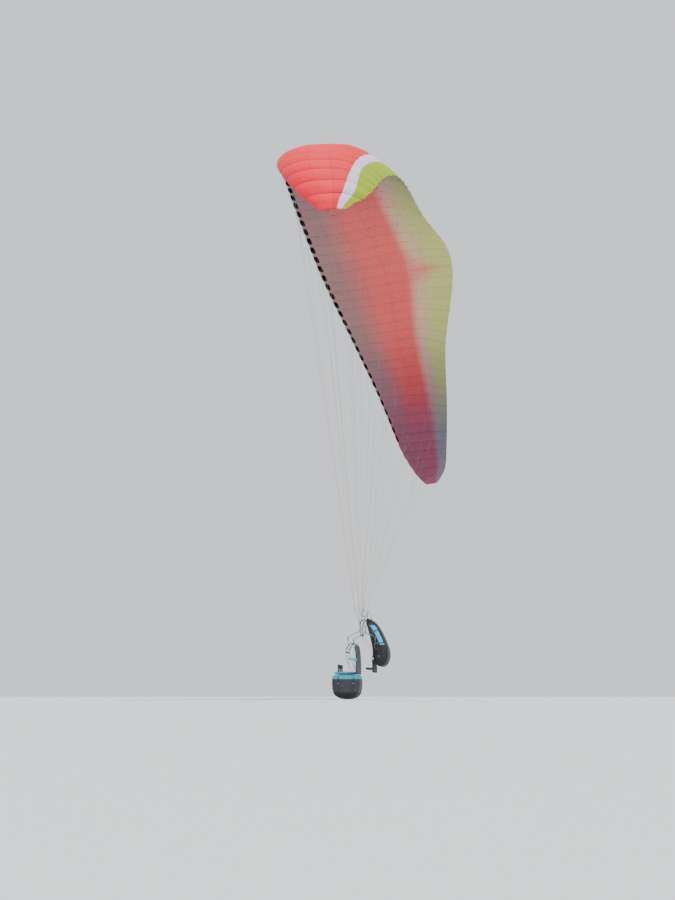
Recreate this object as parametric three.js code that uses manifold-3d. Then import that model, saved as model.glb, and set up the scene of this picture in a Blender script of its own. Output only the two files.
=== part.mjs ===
// Tandem paraglider hanging in flight: cell canopy, lines, risers, spreaders and two harnesses.
// Millimetres. +X is forward, +Y is the left side, +Z is up.
// Everything is drawn with z = 0 on the main hang axis and lowered at the end, so that the origin
// lies on the centre of the canopy's lower skin, straight above that axis.
import * as THREE from "three";
import Module from "manifold-3d";

const wasm = await Module();
wasm.setup();

// Canopy, overall
const HANG_DROP = 8660;      // lower skin at the centre above the main hang axis
const HALF_ARC = 7970;       // half span measured along the arch
const ARCH_LINEAR = 0.66;    // rib roll in radians at the tip, part that grows with the distance
const ARCH_CUBIC = 0.89;     // part that grows with its cube
const ARCH_SIXTH = 0.07;     // part that grows with its sixth power
const LE_AHEAD = 942;        // leading edge at the centre ahead of the hang axis
const HALF_CELLS = 23;
const CELL_TAPER = 0.12;     // how much wider the centre cells are than the mean
const SKIN = 4;
const RIB_WALL = 4;
const SECTION_GAP = 0.4;
const BULGE_UP = 0.11;       // height of the billow over its cell's width
const BULGE_DOWN = 0.07;
const DROOP_FROM = 0.6;      // share of the chord where the braked trailing edge starts to bend
const DROOP_POWER = 1.7;
const ARCH_STEPS = 400;
const FLATTEN = 0.05;        // joined solids drop edges shorter or flatter than this

// Share of half the arc, leading edge set-back, chord, thickness factor, trailing edge droop, twist
const PLANFORM = [
  { t: 0.00, back: 0, chord: 3350, thick: 1.00, droop: 0.034, twist: -0.024 },
  { t: 0.35, back: 198, chord: 2718, thick: 0.97, droop: 0.170, twist: -0.035 },
  { t: 0.65, back: 620, chord: 2111, thick: 0.90, droop: 0.200, twist: -0.062 },
  { t: 0.85, back: 1042, chord: 1528, thick: 0.82, droop: 0.200, twist: -0.090 },
  { t: 0.95, back: 1441, chord: 984, thick: 0.72, droop: 0.155, twist: -0.106 },
  { t: 1.00, back: 1756, chord: 378, thick: 0.50, droop: 0.100, twist: -0.115 },
];

// Rib shape as shares of the chord, and how much of the billow each row takes
const PROFILE = [
  { x: 0.012, upper: 0.030, lower: -0.018, billow: 0.25 },
  { x: 0.045, upper: 0.062, lower: -0.028, billow: 0.60 },
  { x: 0.100, upper: 0.090, lower: -0.036, billow: 1.00 },
  { x: 0.190, upper: 0.113, lower: -0.041, billow: 1.00 },
  { x: 0.300, upper: 0.122, lower: -0.042, billow: 1.00 },
  { x: 0.520, upper: 0.100, lower: -0.034, billow: 1.00 },
  { x: 0.740, upper: 0.060, lower: -0.018, billow: 0.90 },
  { x: 0.900, upper: 0.025, lower: -0.007, billow: 0.50 },
];

// Canopy sections by the cells that bound them; the outermost have no openings at the nose
const SECTIONS = [
  { name: "1", from: 3, to: 8 },
  { name: "2", from: 8, to: 13 },
  { name: "3", from: 13, to: 18 },
  { name: "4", from: 18, to: 23 },
];
const CENTRE_CELLS = 3;
const OPEN_CELLS = 18;
const INLET_SIDE = 0.16;     // share of the cell's width left on each side of an opening
const INLET_START = 0.014;
const INLET_END = 0.050;
const INLET_RISE = 0.004;     // the openings' cutter from inside the nose to below it, as shares of the chord
const INLET_DROP = -0.08;
const TIP_CAVITY_END = 22.6;
const TIP_PORT = [[0.16, 0.055], [0.34, 0.06], [0.34, 0.0], [0.16, 0.0]];  // through the tip cells' ribs

// Hang gear
const SIDE_Y = 250;          // left and right hang points from the middle
const WEB = 25;              // width of the risers' and spreaders' webbing
const WEB_THICK = 4;
const ROD = 5;               // radius of a carabiner's rod
const LOOP_IN = 6.6;         // webbing loop around a carabiner's rod
const LOOP_OUT = 10.2;
const CARABINER_WIDTH = 44;  // between the centres of its side rods
const CARABINER_DROP = 80;   // from its top rod to its bottom rod
const LINK_ROD = 2.5;
const LINK_WIDTH = 34;
const LINK_RISE = 43;
const LINK_LOOP_IN = 3.6;
const LINK_LOOP_OUT = 6.6;
const BAR_EASE = 1.5;        // straight bar left on each side of the webbing that loops around it

// Riser tops: where each line group's link hangs on its strap
const RISER_TOPS = {
  a: { x: 115, z: 372 },
  b: { x: 35, z: 384 },
  c: { x: -55, z: 366 },
};
const PULLEY = { x: -88, z: 330, inner: 6, outer: 11, tall: 8 };
const HANDLE = { x: -88, top: 312, wide: 90, tall: 120, rod: 7 };

// Lines: attachment rows as shares of the chord, in the profile table's own rows
const ROW_X = { a: 0.10, b: 0.30, c: 0.52, d: 0.74 };
const TOP_GROUPS = [[1, 3], [5, 7], [9, 11], [13, 15], [17, 19]];
const MAIN_GROUPS = [[0, 1], [2, 3], [4]];
const STABILO_RIBS = [21, 23];
const BRAKE_GROUPS = [[2, 4, 6, 8], [10, 12, 14, 16], [18, 20, 22]];
const TOP_SHARE = 0.16;      // how far down the upper forks lie
const MAIN_SHARE = 0.42;     // how far down the main forks lie
const BRAKE_SHARE = 0.62;
const LINE_R = 1.5;
const LINE_TIP_R = 0.5;
const LINE_GAP = 0.5;
const FOOT_RISE = 25;        // the main lines part this far above their loop on the link
const PULLEY_RISE = 60;      // the brake lines part this far above the pulley ring

// Spreaders and harness hang points, seen from the side
const SPREADER_REAR = { x: -297, z: -190 };
const SPREADER_FRONT = { x: 255, z: -190 };
const BAR_THICK = 8;

const PILOT = { x: SPREADER_REAR.x, z: SPREADER_REAR.z, seatX: -222, seatZ: -590 };
const PASSENGER = { x: SPREADER_FRONT.x, z: SPREADER_FRONT.z, seatX: 150, seatZ: -846 };
const HIP_PIN_R = 4;
const HIP_EYE_IN = 5;
const HIP_EYE_OUT = 11;
const HIP_PIN_END = 186;     // inner end of the hip pins, from the middle
const BAG_HALF = 215;
const SEAT_HALF = 178;

// Side outlines, each a loop of x and z
const PILOT_BAG = [
  [-90, 140], [-135, 0], [-190, -200], [-230, -400], [-235, -560], [-270, -690], [-355, -750], [-455, -710],
  [-520, -590], [-515, -440], [-455, -270], [-370, -80], [-275, 70], [-175, 155],
];
const PASSENGER_BAG = [
  [85, -890], [320, -890], [560, -890], [600, -935], [605, -1120], [570, -1250], [480, -1310], [320, -1325],
  [170, -1310], [95, -1240], [70, -1120], [68, -980],
];
const PASSENGER_BACK = [
  [128, -889.5], [116, -700], [122, -500], [146, -360], [140, -322], [122, -328], [92, -480], [84, -700],
  [90, -889.5],
];

// Leading edge height that puts the centre's lower skin at row B right at HANG_DROP
const CENTRE = PLANFORM[0];
const CENTRE_LOW = PROFILE.find((p) => p.x === ROW_X.b);
const LOW_RISE = CENTRE_LOW.x * Math.sin(CENTRE.twist)
  + CENTRE_LOW.lower * CENTRE.thick * Math.cos(CENTRE.twist);
const LE_HEIGHT = HANG_DROP - CENTRE.chord * LOW_RISE;

const MATERIALS = {
  canopy: { color: 0xd9585c, roughness: 0.72, metalness: 0 },
  line_red: { color: 0xb5505a, roughness: 0.8, metalness: 0 },
  line_green: { color: 0x7f9a6a, roughness: 0.8, metalness: 0 },
  line_grey: { color: 0x6c707c, roughness: 0.8, metalness: 0 },
  webbing: { color: 0x24262b, roughness: 0.85, metalness: 0 },
  teal: { color: 0x3f9fb4, roughness: 0.8, metalness: 0 },
  harness: { color: 0x1d1e24, roughness: 0.8, metalness: 0 },
  grey: { color: 0x53565e, roughness: 0.8, metalness: 0 },
  steel: { color: 0xb8bcc2, roughness: 0.3, metalness: 0.9 },
  alloy: { color: 0x8f959d, roughness: 0.35, metalness: 0.8 },
  grip: { color: 0x17181a, roughness: 0.7, metalness: 0 },
};

const part = new THREE.Group();
part.name = "paraglider";
const v3 = (x, y, z) => new THREE.Vector3(x, y, z);

function ringNormal(ring) {
  const n = v3(0, 0, 0);
  ring.forEach((p, i) => {
    const q = ring[(i + 1) % ring.length];
    n.x += (p.y - q.y) * (p.z + q.z);
    n.y += (p.z - q.z) * (p.x + q.x);
    n.z += (p.x - q.x) * (p.y + q.y);
  });
  return n.normalize();
}

function capTriangles(ring) {
  const n = ringNormal(ring);
  const e1 = Math.abs(n.x) < 0.8 ? v3(1, 0, 0) : v3(0, 1, 0);
  e1.addScaledVector(n, -e1.dot(n)).normalize();
  const e2 = v3(0, 0, 0).crossVectors(n, e1);
  const flat = ring.map((p) => new THREE.Vector2(p.dot(e1), p.dot(e2)));
  return THREE.ShapeUtils.triangulateShape(flat, []);
}

function solidOf(points, faces) {
  const volume = faces.reduce((sum, [i, j, k]) => {
    return sum + points[i].dot(v3(0, 0, 0).crossVectors(points[j], points[k]));
  }, 0);
  const outward = volume > 0 ? faces : faces.map(([i, j, k]) => [k, j, i]);
  return new wasm.Manifold(new wasm.Mesh({
    numProp: 3,
    vertProperties: new Float32Array(points.flatMap((p) => p.toArray())),
    triVerts: new Uint32Array(outward.flat()),
  }));
}

// A solid through rings of equal point counts, with caps, or closed on itself
function loft(rings, closed = false) {
  const count = rings[0].length;
  const faces = [];
  const last = closed ? rings.length : rings.length - 1;
  for (let r = 0; r < last; r += 1) {
    const a = r * count;
    const b = ((r + 1) % rings.length) * count;
    for (let i = 0; i < count; i += 1) {
      const j = (i + 1) % count;
      faces.push([a + i, a + j, b + j], [a + i, b + j, b + i]);
    }
  }
  if (!closed) {
    const end = (rings.length - 1) * count;
    capTriangles(rings[0]).forEach(([i, j, k]) => faces.push([k, j, i]));
    capTriangles(rings[rings.length - 1]).forEach(([i, j, k]) => faces.push([end + i, end + j, end + k]));
  }
  return solidOf(rings.flat(), faces);
}

const join = (solids) => solids.reduce((sum, s) => sum.add(s)).simplify(FLATTEN);

function add(name, solid, material) {
  const mesh = solid.getMesh();
  const geometry = new THREE.BufferGeometry();
  const stride = mesh.numProp;
  const positions = [];
  for (let i = 0; i < mesh.vertProperties.length; i += stride) {
    const [x, y, z] = mesh.vertProperties.subarray(i, i + 3);
    positions.push(x, y, z - HANG_DROP);
  }
  geometry.setAttribute("position", new THREE.Float32BufferAttribute(positions, 3));
  geometry.setIndex(Array.from(mesh.triVerts));
  geometry.computeVertexNormals();
  const node = new THREE.Mesh(geometry, new THREE.MeshStandardMaterial(MATERIALS[material]));
  node.name = name;
  part.add(node);
}

// Straight rod of square section between two points, with its own size at each end
function strut(p, q, rp, rq, sides = 4) {
  const along = q.clone().sub(p).normalize();
  const e1 = Math.abs(along.y) < 0.9 ? v3(0, 1, 0) : v3(1, 0, 0);
  e1.addScaledVector(along, -e1.dot(along)).normalize();
  const e2 = v3(0, 0, 0).crossVectors(along, e1);
  const ring = (c, r) => Array.from({ length: sides }, (_, i) => {
    const turn = (2 * Math.PI * (i + 0.5)) / sides;
    return c.clone().addScaledVector(e1, r * Math.cos(turn)).addScaledVector(e2, r * Math.sin(turn));
  });
  return loft([ring(p, rp), ring(q, rq)]);
}

// Ring around an axis along Y
function eye(x, z, inner, outer, y0, y1, sides = 10) {
  const rings = Array.from({ length: sides }, (_, i) => {
    const turn = (2 * Math.PI * i) / sides;
    const [c, s] = [Math.cos(turn), Math.sin(turn)];
    return [[inner, y0], [outer, y0], [outer, y1], [inner, y1]].map(([r, y]) => v3(x + r * c, y, z + r * s));
  });
  return loft(rings, true);
}

// Flat strap along a path, wide along one direction
function strap(path, wide, width, thick) {
  const rings = path.map((p, i) => {
    const before = path[Math.max(i - 1, 0)];
    const after = path[Math.min(i + 1, path.length - 1)];
    const along = after.clone().sub(before).normalize();
    const w = wide.clone().addScaledVector(along, -wide.dot(along)).normalize().multiplyScalar(width / 2);
    const t = v3(0, 0, 0).crossVectors(along, w).normalize().multiplyScalar(thick / 2);
    return [
      p.clone().add(w).add(t), p.clone().sub(w).add(t),
      p.clone().sub(w).sub(t), p.clone().add(w).sub(t),
    ];
  });
  return loft(rings);
}

// Closed rod around a loop of y and z points at one x
function rodLoop(x, loop, radius, sides = 6) {
  const rings = loop.map(([y, z], i) => {
    const [ay, az] = loop[(i + loop.length - 1) % loop.length];
    const [by, bz] = loop[(i + 1) % loop.length];
    const inward = new THREE.Vector2(y - ay, z - az).normalize();
    const onward = new THREE.Vector2(by - y, bz - z).normalize();
    const out = new THREE.Vector2(inward.y + onward.y, -(inward.x + onward.x)).normalize();
    const stretch = 1 / Math.sqrt((1 + inward.dot(onward)) / 2);
    return Array.from({ length: sides }, (_, k) => {
      const turn = (2 * Math.PI * (k + 0.5)) / sides;
      const r = radius * Math.cos(turn) * stretch;
      return v3(x + radius * Math.sin(turn), y + out.x * r, z + out.y * r);
    });
  });
  return loft(rings, true);
}

// Rounded link standing in the YZ plane, its bottom rod's centre at z
function link(x, y, z, width, rise, radius) {
  const cut = (width - WEB) / 2 - BAR_EASE;
  const [h, top] = [width / 2, z + rise];
  return rodLoop(x, [
    [y - h + cut, z], [y + h - cut, z], [y + h, z + cut], [y + h, top - cut],
    [y + h - cut, top], [y - h + cut, top], [y - h, top - cut], [y - h, z + cut],
  ], radius);
}

// Outline of x and z stood across Y, narrowed at its two sides
function pillow(outline, half, edge, squeeze, scale = 1) {
  const cx = outline.reduce((s, p) => s + p[0], 0) / outline.length;
  const cz = outline.reduce((s, p) => s + p[1], 0) / outline.length;
  const ring = (y, k) => outline.map(([x, z]) => v3(cx + (x - cx) * k, y, cz + (z - cz) * k));
  return loft([
    ring(-half, squeeze * scale), ring(-half + edge, scale),
    ring(half - edge, scale), ring(half, squeeze * scale),
  ]);
}

// Smooth reading of a table row between its stations
function tableAt(table, key, t) {
  const last = table.length - 1;
  let i = 0;
  while (i < last - 1 && table[i + 1].t < t) {
    i += 1;
  }
  const slope = (k) => {
    const [a, b] = [table[Math.max(k - 1, 0)], table[Math.min(k + 1, last)]];
    return k === 0 ? 0 : (b[key] - a[key]) / (b.t - a.t);
  };
  const [p, q] = [table[i], table[i + 1]];
  const w = q.t - p.t;
  const s = (t - p.t) / w;
  return (2 * s ** 3 - 3 * s ** 2 + 1) * p[key] + (s ** 3 - 2 * s ** 2 + s) * w * slope(i)
    + (3 * s ** 2 - 2 * s ** 3) * q[key] + (s ** 3 - s ** 2) * w * slope(i + 1);
}

const archRoll = (t) => ARCH_LINEAR * t + ARCH_CUBIC * t ** 3 + ARCH_SIXTH * t ** 6;
const ARCH = [{ y: 0, drop: 0 }];
for (let i = 1; i <= ARCH_STEPS; i += 1) {
  const roll = archRoll((i - 0.5) / ARCH_STEPS);
  const step = HALF_ARC / ARCH_STEPS;
  const before = ARCH[i - 1];
  ARCH.push({ y: before.y + Math.cos(roll) * step, drop: before.drop + Math.sin(roll) * step });
}

function archAt(t) {
  const i = Math.min(Math.floor(t * ARCH_STEPS), ARCH_STEPS - 1);
  const s = t * ARCH_STEPS - i;
  return {
    y: THREE.MathUtils.lerp(ARCH[i].y, ARCH[i + 1].y, s),
    drop: THREE.MathUtils.lerp(ARCH[i].drop, ARCH[i + 1].drop, s),
  };
}

function cellShare(cell) {
  const q = Math.min(Math.abs(cell) / HALF_CELLS, 1);
  return (1 + CELL_TAPER) * q - CELL_TAPER * q ** 3;
}

// Where a point of the rib at this cell number lies: x as a share of the chord, z likewise, plus lift in mm
function ribPoint(cell, x, z, lift = 0) {
  const t = cellShare(cell);
  const side = cell < 0 ? -1 : 1;
  const plan = (key) => tableAt(PLANFORM, key, t);
  const [chord, twist, arch, roll] = [plan("chord"), plan("twist"), archAt(t), archRoll(t)];
  const droop = plan("droop") * (Math.max(0, x - DROOP_FROM) / (1 - DROOP_FROM)) ** DROOP_POWER;
  const along = x * chord;
  const up = (z * plan("thick") - droop) * chord + lift;
  const back = along * Math.cos(twist) - up * Math.sin(twist);
  const rise = along * Math.sin(twist) + up * Math.cos(twist);
  return v3(
    LE_AHEAD - plan("back") - back,
    side * (arch.y + rise * Math.sin(roll)),
    LE_HEIGHT - arch.drop + rise * Math.cos(roll),
  );
}

const cellWidth = (cell) => {
  const c = Math.min(Math.abs(cell), HALF_CELLS - 0.5);
  return (cellShare(c + 0.5) - cellShare(Math.max(c - 0.5, 0))) * HALF_ARC / (c < 0.5 ? c + 0.5 : 1);
};

function skinRing(cell, billow) {
  const width = cellWidth(cell);
  const upper = PROFILE.map((p) => ribPoint(cell, p.x, p.upper, BULGE_UP * width * billow * p.billow));
  const lower = PROFILE.map((p) => ribPoint(cell, p.x, p.lower, -BULGE_DOWN * width * billow * p.billow));
  return [ribPoint(cell, 0, 0), ...upper, ribPoint(cell, 1, 0), ...lower.reverse()];
}

function cavityRing(cell, billow) {
  const width = cellWidth(cell);
  const [up, down] = [BULGE_UP * width * billow, BULGE_DOWN * width * billow];
  const upper = PROFILE.map((p) => ribPoint(cell, p.x, p.upper, up * p.billow - SKIN));
  const lower = PROFILE.map((p) => ribPoint(cell, p.x, p.lower, SKIN - down * p.billow));
  return [...upper, ...lower.reverse()];
}

function inlet(cell, side) {
  const ring = (c) => [
    ribPoint(c, INLET_START, INLET_RISE), ribPoint(c, INLET_END, INLET_RISE),
    ribPoint(c, INLET_END, INLET_DROP), ribPoint(c, INLET_START, INLET_DROP),
  ];
  return loft([ring(side * (cell + INLET_SIDE)), ring(side * (cell + 1 - INLET_SIDE))]);
}

function section(from, to, side) {
  const trim = SECTION_GAP / 2 / cellWidth(from);
  const wall = (c) => RIB_WALL / 2 / cellWidth(c);
  const stations = [];
  for (let c = from; c < to; c += 1) {
    stations.push([c === from ? c + trim : c, 0], [c + 0.5, 1]);
  }
  stations.push([to === HALF_CELLS ? to : to - trim, 0]);
  let solid = loft(stations.map(([c, billow]) => skinRing(side * c, billow)));
  for (let c = from; c < to; c += 1) {
    const end = Math.min(c + 1 - wall(c), TIP_CAVITY_END);
    const middle = (c + wall(c) + end) / 2;
    const rings = [[c + wall(c), 0], [middle, 1], [end, 0]];
    solid = solid.subtract(loft(rings.map(([u, billow]) => cavityRing(side * u, billow))));
    if ((c >= 0 ? c : -c - 1) < OPEN_CELLS) {
      solid = solid.subtract(inlet(c, side));
    }
  }
  if (to === HALF_CELLS) {
    const port = (c) => TIP_PORT.map(([x, z]) => ribPoint(side * c, x, z));
    solid = solid.subtract(loft([from - 0.2, from + 2, to - 0.6].map(port)));
  }
  return solid;
}

add("canopy_center", section(-CENTRE_CELLS, CENTRE_CELLS, 1), "canopy");
SECTIONS.forEach(({ name, from, to }) => {
  add(`canopy_left_${name}`, section(from, to, 1), "canopy");
  add(`canopy_right_${name}`, section(from, to, -1), "canopy");
});

// Just under the lower skin where a row's line meets a rib
function lineTop(rib, side, row) {
  const x = ROW_X[row];
  return ribPoint(side * rib, x, PROFILE.find((p) => p.x === x).lower, -LINE_GAP);
}

const middle = (points) => points.reduce((s, p) => s.add(p), v3(0, 0, 0)).multiplyScalar(1 / points.length);
const square = (d, along) => d.clone().addScaledVector(along, -d.dot(along)).normalize();

// Branching line: each junction is a row of square cells, one under each line that leaves it
function lineTree(foot, root) {
  const points = [];
  const faces = [];
  const corner = (at, f, t, x, y) => points.push(at.clone().addScaledVector(f, x).addScaledVector(t, y)) - 1;

  function grow(lower, f, from, node) {
    const along = node.at.clone().sub(from).normalize();
    const kids = node.kids || [];
    const spread = kids.length > 1 ? kids[kids.length - 1].at.clone().sub(kids[0].at) : f;
    const nf = square(spread, along);
    const nt = v3(0, 0, 0).crossVectors(along, nf);
    kids.sort((p, q) => p.at.dot(nf) - q.at.dot(nf));
    const cells = Math.max(kids.length, 1);
    const half = kids.length ? LINE_R : LINE_TIP_R;
    const xs = Array.from({ length: cells + 1 }, (_, i) => (2 * i - cells) * half);
    const near = xs.map((x) => corner(node.at, nf, nt, x, -half));
    const far = xs.map((x) => corner(node.at, nf, nt, x, half));
    const sides = [near, [near[cells], far[cells]], [...far].reverse(), [far[0], near[0]]];
    const reach = (i, origin) => points[i].clone().sub(origin).normalize();
    const turns = [0, 1, 2, 3].map((k) => lower.reduce((sum, l, i) => {
      return sum + reach(l, from).dot(reach(sides[(i + k) % 4][0], node.at));
    }, 0));
    const turn = turns.indexOf(Math.max(...turns));
    lower.forEach((l, i) => {
      const next = lower[(i + 1) % 4];
      const chain = sides[(i + turn) % 4];
      faces.push([l, next, chain[chain.length - 1]]);
      for (let k = chain.length - 1; k > 0; k -= 1) {
        faces.push([l, chain[k], chain[k - 1]]);
      }
    });
    if (!kids.length) {
      faces.push([near[0], near[1], far[1]], [near[0], far[1], far[0]]);
    }
    kids.forEach((kid, i) => grow([near[i], near[i + 1], far[i + 1], far[i]], nf, node.at, kid));
  }

  const along = root.at.clone().sub(foot).normalize();
  const f = square(v3(0, 1, 0), along);
  const t = v3(0, 0, 0).crossVectors(along, f);
  const corners = [[-1, -1], [1, -1], [1, 1], [-1, 1]];
  const base = corners.map(([x, y]) => corner(foot, f, t, x * LINE_R, y * LINE_R));
  faces.push([base[0], base[2], base[1]], [base[0], base[3], base[2]]);
  grow(base, f, foot, root);
  return solidOf(points, faces);
}

const junction = (kids, anchor, share) => ({ at: middle(kids.map((k) => k.at)).lerp(anchor, share), kids });

function rowForks(side, row, anchor) {
  return TOP_GROUPS.map((ribs) => {
    return junction(ribs.map((rib) => ({ at: lineTop(rib, side, row) })), anchor, TOP_SHARE);
  });
}

function groupLines(side, row) {
  const top = RISER_TOPS[row];
  const y = side * SIDE_Y;
  const barZ = top.z + LINK_RISE;
  const anchor = v3(top.x, y, barZ + LINK_LOOP_OUT + FOOT_RISE);
  const forks = rowForks(side, row, anchor);
  const rear = row === "c" ? rowForks(side, "d", anchor) : [];
  const mains = MAIN_GROUPS.map((group) => {
    const uppers = group.flatMap((k) => [forks[k], ...rear.slice(k, k + 1)]);
    return junction(uppers, anchor, MAIN_SHARE - TOP_SHARE);
  });
  if (row === "b") {
    mains.push(junction(STABILO_RIBS.map((rib) => ({ at: lineTop(rib, side, row) })), anchor, TOP_SHARE));
  }
  const tree = lineTree(v3(top.x, y, barZ + LINK_LOOP_OUT - 1), { at: anchor, kids: mains });
  return join([eye(top.x, barZ, LINK_LOOP_IN, LINK_LOOP_OUT, y - 7, y + 7), tree]);
}

function brakeLines(side) {
  const y = side * SIDE_Y;
  const pulley = v3(PULLEY.x, y, PULLEY.z + PULLEY_RISE);
  const forks = BRAKE_GROUPS.map((ribs) => {
    const tops = ribs.map((rib) => ({ at: ribPoint(side * rib, 1, 0, -LINE_GAP) }));
    return junction(tops, pulley, TOP_SHARE);
  });
  const main = junction(forks, pulley, BRAKE_SHARE - TOP_SHARE);
  return lineTree(v3(PULLEY.x, y, HANDLE.top + LINE_GAP), { at: pulley, kids: [main] });
}

function riser(side) {
  const y = side * SIDE_Y;
  const [y0, y1] = [y - WEB / 2, y + WEB / 2];
  const pieces = [eye(0, 0, LOOP_IN, LOOP_OUT, y0, y1)];
  Object.values(RISER_TOPS).forEach(({ x, z }) => {
    const foot = v3(x * 0.03, y, LOOP_OUT - 2);
    const head = v3(x, y, z - LINK_LOOP_OUT + 1.5);
    pieces.push(strap([foot, head], v3(0, 1, 0), WEB, WEB_THICK));
    pieces.push(eye(x, z, LINK_LOOP_IN, LINK_LOOP_OUT, y0, y1));
  });
  const c = RISER_TOPS.c;
  const share = PULLEY.z / c.z;
  const ring = [PULLEY.inner, PULLEY.outer];
  const rings = Array.from({ length: 10 }, (_, i) => {
    const turn = (2 * Math.PI * i) / 10;
    return [[ring[0], 0], [ring[1], 0], [ring[1], PULLEY.tall], [ring[0], PULLEY.tall]].map(([r, h]) => {
      return v3(PULLEY.x + r * Math.cos(turn), y + r * Math.sin(turn), PULLEY.z + h);
    });
  });
  pieces.push(loft(rings, true));
  const inner = v3(c.x * share, y, PULLEY.z + 4);
  pieces.push(strap([v3(PULLEY.x + PULLEY.inner + 2, y, PULLEY.z + 4), inner], v3(0, 1, 0), 10, 6));
  return join(pieces);
}

function brakeHandle(side) {
  const y = side * SIDE_Y;
  const { x, top, wide, tall, rod } = HANDLE;
  const half = wide / 2;
  const loop = [
    [-12, 0], [12, 0], [half - 8, -28], [half, -tall + 40], [half - 16, -tall + 8], [half - 34, -tall],
    [-half + 34, -tall], [-half + 16, -tall + 8], [-half, -tall + 40], [-half + 8, -28],
  ];
  const rings = loop.map(([u, w], i) => {
    const a = loop[(i + loop.length - 1) % loop.length];
    const b = loop[(i + 1) % loop.length];
    const inward = new THREE.Vector2(u - a[0], w - a[1]).normalize();
    const onward = new THREE.Vector2(b[0] - u, b[1] - w).normalize();
    const out = new THREE.Vector2(inward.y + onward.y, -(inward.x + onward.x)).normalize();
    const stretch = 1 / Math.sqrt((1 + inward.dot(onward)) / 2);
    const reach = rod / 2 * stretch;
    return [[1, 1], [1, -1], [-1, -1], [-1, 1]].map(([p, q]) => {
      return v3(x + u + out.x * p * reach, y + q * 10, top - rod / 2 + w + out.y * p * reach);
    });
  });
  return loft(rings, true);
}

function spreader(side) {
  const y = side * SIDE_Y;
  const [y0, y1] = [y - WEB / 2, y + WEB / 2];
  const apex = -CARABINER_DROP;
  const pieces = [eye(0, apex, LOOP_IN, LOOP_OUT, y0, y1)];
  [SPREADER_REAR, SPREADER_FRONT].forEach(({ x, z }) => {
    const away = v3(x, 0, z - apex).normalize();
    const from = v3(0, y, apex).addScaledVector(away, LOOP_OUT - 2);
    const to = v3(x, y, z).addScaledVector(away, -LOOP_OUT + 2);
    pieces.push(strap([from, to], v3(0, 1, 0), WEB, BAR_THICK), eye(x, z, LOOP_IN, LOOP_OUT, y0, y1));
  });
  return join(pieces);
}

const carabiner = (x, y, topZ) => link(x, y, topZ - CARABINER_DROP, CARABINER_WIDTH, CARABINER_DROP, ROD);

const SIDES = [
  { name: "left", side: 1 },
  { name: "right", side: -1 },
];
const LINE_COLOURS = { a: "line_red", b: "line_green", c: "line_grey" };
SIDES.forEach(({ name, side }) => {
  const y = side * SIDE_Y;
  Object.entries(RISER_TOPS).forEach(([row, { x, z }]) => {
    add(`lines_${row}_${name}`, groupLines(side, row), LINE_COLOURS[row]);
    add(`link_${row}_${name}`, link(x, y, z, LINK_WIDTH, LINK_RISE, LINK_ROD), "steel");
  });
  add(`brake_lines_${name}`, brakeLines(side), "line_green");
  add(`riser_${name}`, riser(side), "webbing");
  add(`brake_handle_${name}`, brakeHandle(side), "grip");
  add(`carabiner_main_${name}`, carabiner(0, y, 0), "alloy");
  add(`spreader_${name}`, spreader(side), "teal");
  add(`carabiner_pilot_${name}`, carabiner(PILOT.x, y, PILOT.z), "alloy");
  add(`carabiner_passenger_${name}`, carabiner(PASSENGER.x, y, PASSENGER.z), "alloy");
});

// Main strap: loop on the carabiner, down to the hip, with a tab to the back and a pin for the seat
function mainStrap(side, hang, path, tab) {
  const y = side * SIDE_Y;
  const bar = hang.z - CARABINER_DROP;
  const start = v3(hang.x, y, bar - LOOP_OUT + 2);
  const points = [start, ...path.map(([x, across, z]) => v3(x, side * across, z))];
  const pinY = side * (BAG_HALF + 14);
  const pinEnd = v3(hang.seatX, pinY, hang.seatZ);
  return join([
    eye(hang.x, bar, LOOP_IN, LOOP_OUT, y - WEB / 2, y + WEB / 2),
    strap(points, v3(0, 1, 0), WEB, WEB_THICK),
    strap(tab.map(([x, across, z]) => v3(x, side * across, z)), v3(0, 0, 1), 40, WEB_THICK),
    strut(pinEnd, v3(hang.seatX, side * HIP_PIN_END, hang.seatZ), HIP_PIN_R, HIP_PIN_R, 8),
    strut(points[points.length - 1], pinEnd, 6, 6),
  ]);
}

// Seat drawn level with its hinge at the origin, then turned down about it
function seat({ hang, length, turn, top }) {
  const front = length - 20;
  const outline = [[16, top], [front, top], [length, top - 16], [front, top - 34], [16, top - 34]];
  const plate = pillow(outline, SEAT_HALF, 26, 0.86);
  const ears = [1, -1].map((side) => join([
    eye(0, 0, HIP_EYE_IN, HIP_EYE_OUT, side * 190, side * 204, 10),
    strap([v3(8, side * 197, 0), v3(24, side * 192, -10), v3(48, side * 168, -14)], v3(0, 0, 1), 12, 8),
  ]));
  return join([plate, ...ears]).rotate([0, turn, 0]).translate([hang.seatX, 0, hang.seatZ]);
}

// Leg loops standing on the seat, joined by a bar across its front
function legLoops({ hang, length, turn, top: face }) {
  const x = length - 90;
  const top = face + 0.6;
  const loops = [1, -1].map((side) => strap([
    v3(x, side * 12, top + 2), v3(x, side * 36, top + 90), v3(x, side * 70, top + 134),
    v3(x, side * 116, top + 134), v3(x, side * 150, top + 90), v3(x, side * 150, top),
  ], v3(1, 0, 0), WEB, WEB_THICK));
  const foot = strap([v3(x, -26, top + 3), v3(x, 26, top + 3)], v3(1, 0, 0), WEB, 6);
  return join([...loops, foot]).rotate([0, turn, 0]).translate([hang.seatX, 0, hang.seatZ]);
}

// Shoulder straps from the back over the shoulders to the hips, and the chest strap between them
function shoulderStraps(path, chest) {
  const pieces = [1, -1].map((side) => {
    return strap(path.map(([x, y, z]) => v3(x, side * y, z)), v3(0, 1, 0), 40, 6);
  });
  const [x, y, z] = path[chest];
  pieces.push(strap([v3(x, -y, z), v3(x, y, z)], v3(0, 0, 1), WEB, WEB_THICK));
  return join(pieces);
}

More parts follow.
